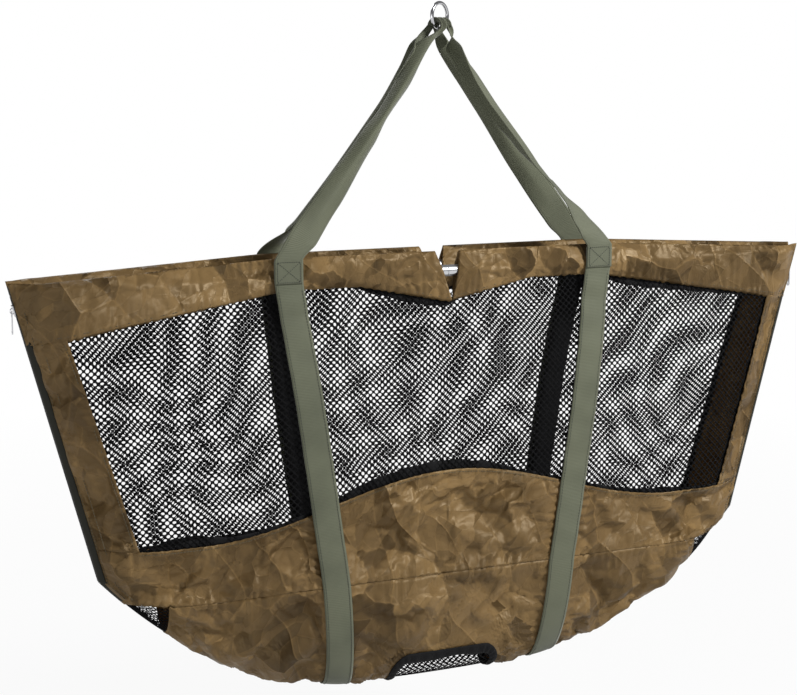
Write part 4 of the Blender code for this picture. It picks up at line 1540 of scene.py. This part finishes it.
def stitches(name, lines, finish, slot, **options):
    vertices, faces = [], []
    for places, outs in lines:
        sew(vertices, faces, places, outs, **options)
    print(name, "has", len(faces) // faces_per_stitch, "stitches")
    add_piece(plain_mesh(name, vertices, faces), finish)


def traced(point, shares, out):
    """A line of places from a function of a share, with the directions out."""
    places = [Vector(point(share)) for share in shares]
    return places, [out(share) if callable(out) else out for share in shares]


def steps(count, start=0.0, end=1.0):
    return [mix(start, end, index / count) for index in range(count + 1)]


# %% Box stitching on the bridle patches
box_inset = 0.004
box_lines = []
for wall in WALLS.values():
    for end in ENDS.values():
        half = webbing_width / 2 - box_inset
        low, high = patch_top_z - patch_height + 0.002, patch_top_z - box_inset
        y = wall * (patch_y + webbing_thickness * 0.4)
        turns = ((-1, low), (1, low), (1, high), (-1, high))
        corners = [Vector((end * strap_at_mouth + side * half, y, z)) for side, z in turns]
        out = Vector((0, wall, 0))
        for a, b in ((0, 1), (1, 2), (2, 3), (3, 0), (0, 2), (1, 3)):
            box_lines.append(([corners[a], corners[b]], [out]))
stitches("patch_stitches", box_lines, dark_thread, "webbing", pitch=0.0032)

# %% Stitching along the straps
strap_lines = []
for end in ENDS.values():
    for across in (0.09, 0.91):

        def edge(share, end=end, across=across):
            return strap_point(end, across, share)

        def out(share, end=end, across=across):
            run = 2 * share - 1
            if abs(run) >= strap_floor_share:
                return Vector((0, math.copysign(1, run), 0))
            return floor_out(strap_at_floor, math.pi / 2 * run / strap_floor_share)

        strap_lines.append(traced(edge, steps(360, 0.03, 0.97), out))
stitches("strap_stitches", strap_lines, dark_thread, "webbing", lift=0.0007)

# %% Stitching on the nylon
nylon_lines = []
for wall in WALLS.values():
    out = Vector((0, wall, 0))

    def above_window(share, wall=wall):
        x = mix(-0.55, 0.55, share)
        z = window_top_z(x) + 0.0035
        return Vector((x, wall * (wall_depth(x, z) + layer_gap + 0.0008), z))

    def below_window(share, wall=wall):
        x = mix(-window_foot_half_length, window_foot_half_length, share)
        return wall_point(x, window_foot_line(x, wall) - 0.004, wall, -0.0006)

    nylon_lines.append(traced(above_window, steps(300), out))
    nylon_lines.append(traced(below_window, steps(300), out))
    for end in ENDS.values():
        for inset in (0.0095, 0.0185):

            def beside_zip(share, wall=wall, end=end, inset=inset):
                z = mix(mouth_z + 0.002, seam_z + 0.01, share)
                return wall_point(end * (outline_x(z) - inset), z, wall, -0.0007)

            nylon_lines.append(traced(beside_zip, steps(200), Vector((end * 0.5, wall, 0)).normalized()))

        def beside_window(share, wall=wall, end=end):
            z = mix(FOOT[wall] + 0.004, window_corner_z - 0.002, share)
            return wall_point(end * (window_side_x(z) + 0.003), z, wall, -0.0007)

        nylon_lines.append(traced(beside_window, steps(120), out))
stitches("cloth_stitches", nylon_lines, thread, "nylon")

# %% [markdown]
# ## Zips
#
# Each end closes with a coil zip. Its teeth are one long coil on each tape, so the small bars of both sides
# lie between each other. They are made one by one here, turned to follow the zip's curve.

# %% Zip teeth and tapes
zip_top_z = mouth_z - 0.008
zip_low_z = mouth_z - 0.419
tape_top_z = mouth_z + 0.004
tape_low_z = mouth_z - 0.426
tooth_pitch = 0.0019
tooth_radius = 0.00042
tooth_size = 0.00105

# The middle line of a tooth, as steps of its size: away from the zip's line, and out of the bag.
TOOTH_LINE = (
    (3.1, 0.0), (2.6, 0.75), (0.6, 0.85), (-0.35, 0.35),
    (-0.4, -0.35), (0.6, -0.85), (2.6, -0.75), (3.1, 0.0),
)


def zip_place(z, end):
    """A place on the zip's line, with its directions down and out of the bag."""
    probe = 0.004
    ahead, behind = (Vector((end * outline_x(at), 0, at)) for at in (z - probe, z + probe))
    down = (ahead - behind).normalized()
    return Vector((end * outline_x(z), 0, z)), down, Vector((-end * down.z, 0, end * down.x))


def tooth(vertices, faces, centre, down, out, side):
    """One turn of the coil: a bar from the tape across the middle, four-sided in section."""
    join_rings(faces, len(vertices), len(TOOTH_LINE), 4)
    for y, rise in TOOTH_LINE:
        middle = centre + Vector((0, side * y * tooth_size, 0)) + out * rise * tooth_size
        square = out if 0.5 < abs(y) < 3 else Vector((0, side, 0))
        for step in range(4):
            angle = math.pi / 2 * step
            vertices.append(middle + (down * math.cos(angle) + square * math.sin(angle)) * tooth_radius)


for end_name, end in ENDS.items():
    for wall_name, wall in WALLS.items():
        vertices, faces = [], []
        count = int((zip_top_z - zip_low_z) / tooth_pitch)
        for index in range(count):
            z = zip_top_z - (index + (0.5 if wall > 0 else 0)) * tooth_pitch
            centre, down, out = zip_place(z, end)
            tooth(vertices, faces, centre, down, out, wall)
        mesh = plain_mesh(f"zip_teeth_{wall_name}_{end_name}", vertices, faces)
        piece = add_piece(mesh, plug)
        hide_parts(f"zip_coil_{wall_name}_{end_name}")

        def tape_point(across, along, wall=wall, end=end):
            z = mix(tape_top_z, tape_low_z, along)
            centre, _, out = zip_place(z, end)
            if across <= 0.5:
                return centre + Vector((0, wall * mix(0.0016, edge_half_depth + 0.0006, across * 2), 0))
            bared = share_of(z, window_corner_z + 0.004, window_corner_z - 0.012)
            lap = (across - 0.5) * 2 * mix(0.001, zip_lap, bared)
            face_y = wall_depth(outline_x(z) - lap, z) + mix(-0.001, 0.0011, bared)
            return centre - out * lap + Vector((0, wall * face_y, 0))

        mesh = sheet_mesh(f"zip_cloth_{wall_name}_{end_name}", tape_point, 6, 180)
        piece = add_piece(mesh, zip_cloth, thickness=0.0006)
        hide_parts(f"zip_tape_{wall_name}_{end_name}")
print("four coils of", count, "teeth")

# %% [markdown]
# ## Solids that stay
#
# The sliders, pulls, stops, end plugs and the inner tube of each bar are right as they are, so they only get
# a finish. A solid is never moved: its material slot is all that changes.

# %% Finish the solids that stay
STAY = {
    "zip_slider": chrome,
    "zip_pull": chrome,
    "zip_top_stop": chrome,
    "zip_bottom_stop": chrome,
    "ferrule": tube,
    "_cap_": plug,
}
for name, solid in frame["nodes"].items():
    for word, finish in STAY.items():
        if word in name:
            for place in solid.material_slots:
                place.material = finish.material
print("solids finished")

# %% [markdown]
# ## Floor, light and camera
#
# The sling hangs in the open against white. A pale floor lies under it, and it looks white to the camera and
# to mirrors, but keeps a little of the shadow. The key lamp stands up and to the right of the camera, so that
# the folds throw shadows. A large, weak lamp fills from the left, a third stands behind, and the white world
# does the rest.

# %% White world
world = bpy.data.worlds.new("white_room")
bpy.context.scene.world = world
room = Tree(world)
background = room.nodes["Background"].inputs
seen = room.seen_by("Is Camera Ray", "Is Transmission Ray")
room.feed(background["Color"], (1, 1, 1, 1))
room.feed(background["Strength"], seen.span(0.0, 1.0, 0.19, 1.0))

# %% Pale floor
floor_gap = 0.3
half_floor = 14.0
ground_z = solid_low[2] - floor_gap
ground = plain_mesh(
    "ground",
    [(x * half_floor, y * half_floor, ground_z) for x, y in ((-1, -1), (1, -1), (1, 1), (-1, 1))],
    [(0, 1, 2, 3)],
)
ground_object = new_object("ground", ground)
pale = Finish("pale_floor", (0.6, 0.6, 0.6, 1), 0.9)
away = pale.vector_math("LENGTH", pale.add("ShaderNodeNewGeometry", {}, {}, "Position"), output="Value")
glow = pale.seen_by("Is Camera Ray", "Is Glossy Ray") * away.span(1.0, 3.5, 0.9, 1.0)
pale.cover(glow, pale.add("ShaderNodeEmission", {}, {}))
ground.materials.append(pale.material)
ground_object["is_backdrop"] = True


# %% Lamps
def add_lamp(name, place, aim, power, size):
    data = bpy.data.lights.new(name, "AREA")
    data.energy = power
    data.shape = "DISK"
    data.size = size
    lamp = new_object(name, data)
    lamp.location = place
    lamp.rotation_euler = (aim - Vector(place)).to_track_quat("-Z", "Y").to_euler()


middle = Vector((0, 0, -0.6))
add_lamp("key", (1.7, -1.8, 1.3), middle, 118, 0.6)
add_lamp("fill", (-2.4, -1.6, -0.3), middle, 16, 1.6)
add_lamp("rim", (-0.8, 2.4, 1.6), middle, 40, 1.5)

# %% [markdown]
# The camera stands a little to the left of the sling and just below its ring, tipped down eight degrees, with
# a long lens. Its place and lens were found from the size of the mouth and the spread of the straps.

# %% Camera
view_data = bpy.data.cameras.new("portrait")
view_data.lens = 69.37
view_data.sensor_width = 36
view_data.shift_y = -0.1
camera = new_object("portrait", view_data)
yaw, tip_down = math.radians(21.66), math.radians(7.6)
camera.location = (-0.8489, -1.983, -0.0801)
look = Vector((math.sin(yaw) * math.cos(tip_down), math.cos(yaw) * math.cos(tip_down), -math.sin(tip_down)))
camera.rotation_euler = look.to_track_quat("-Z", "Y").to_euler()
bpy.context.scene.camera = camera
bpy.context.scene.view_settings.view_transform = "Standard"

# %% Bounds of the dressed sling
bpy.context.view_layer.update()
low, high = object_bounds()
{"solids": [list(solid_low), list(solid_high)], "visual": [list(low), list(high)]}
print("dressed from", [round(v, 4) for v in low], "to", [round(v, 4) for v in high])
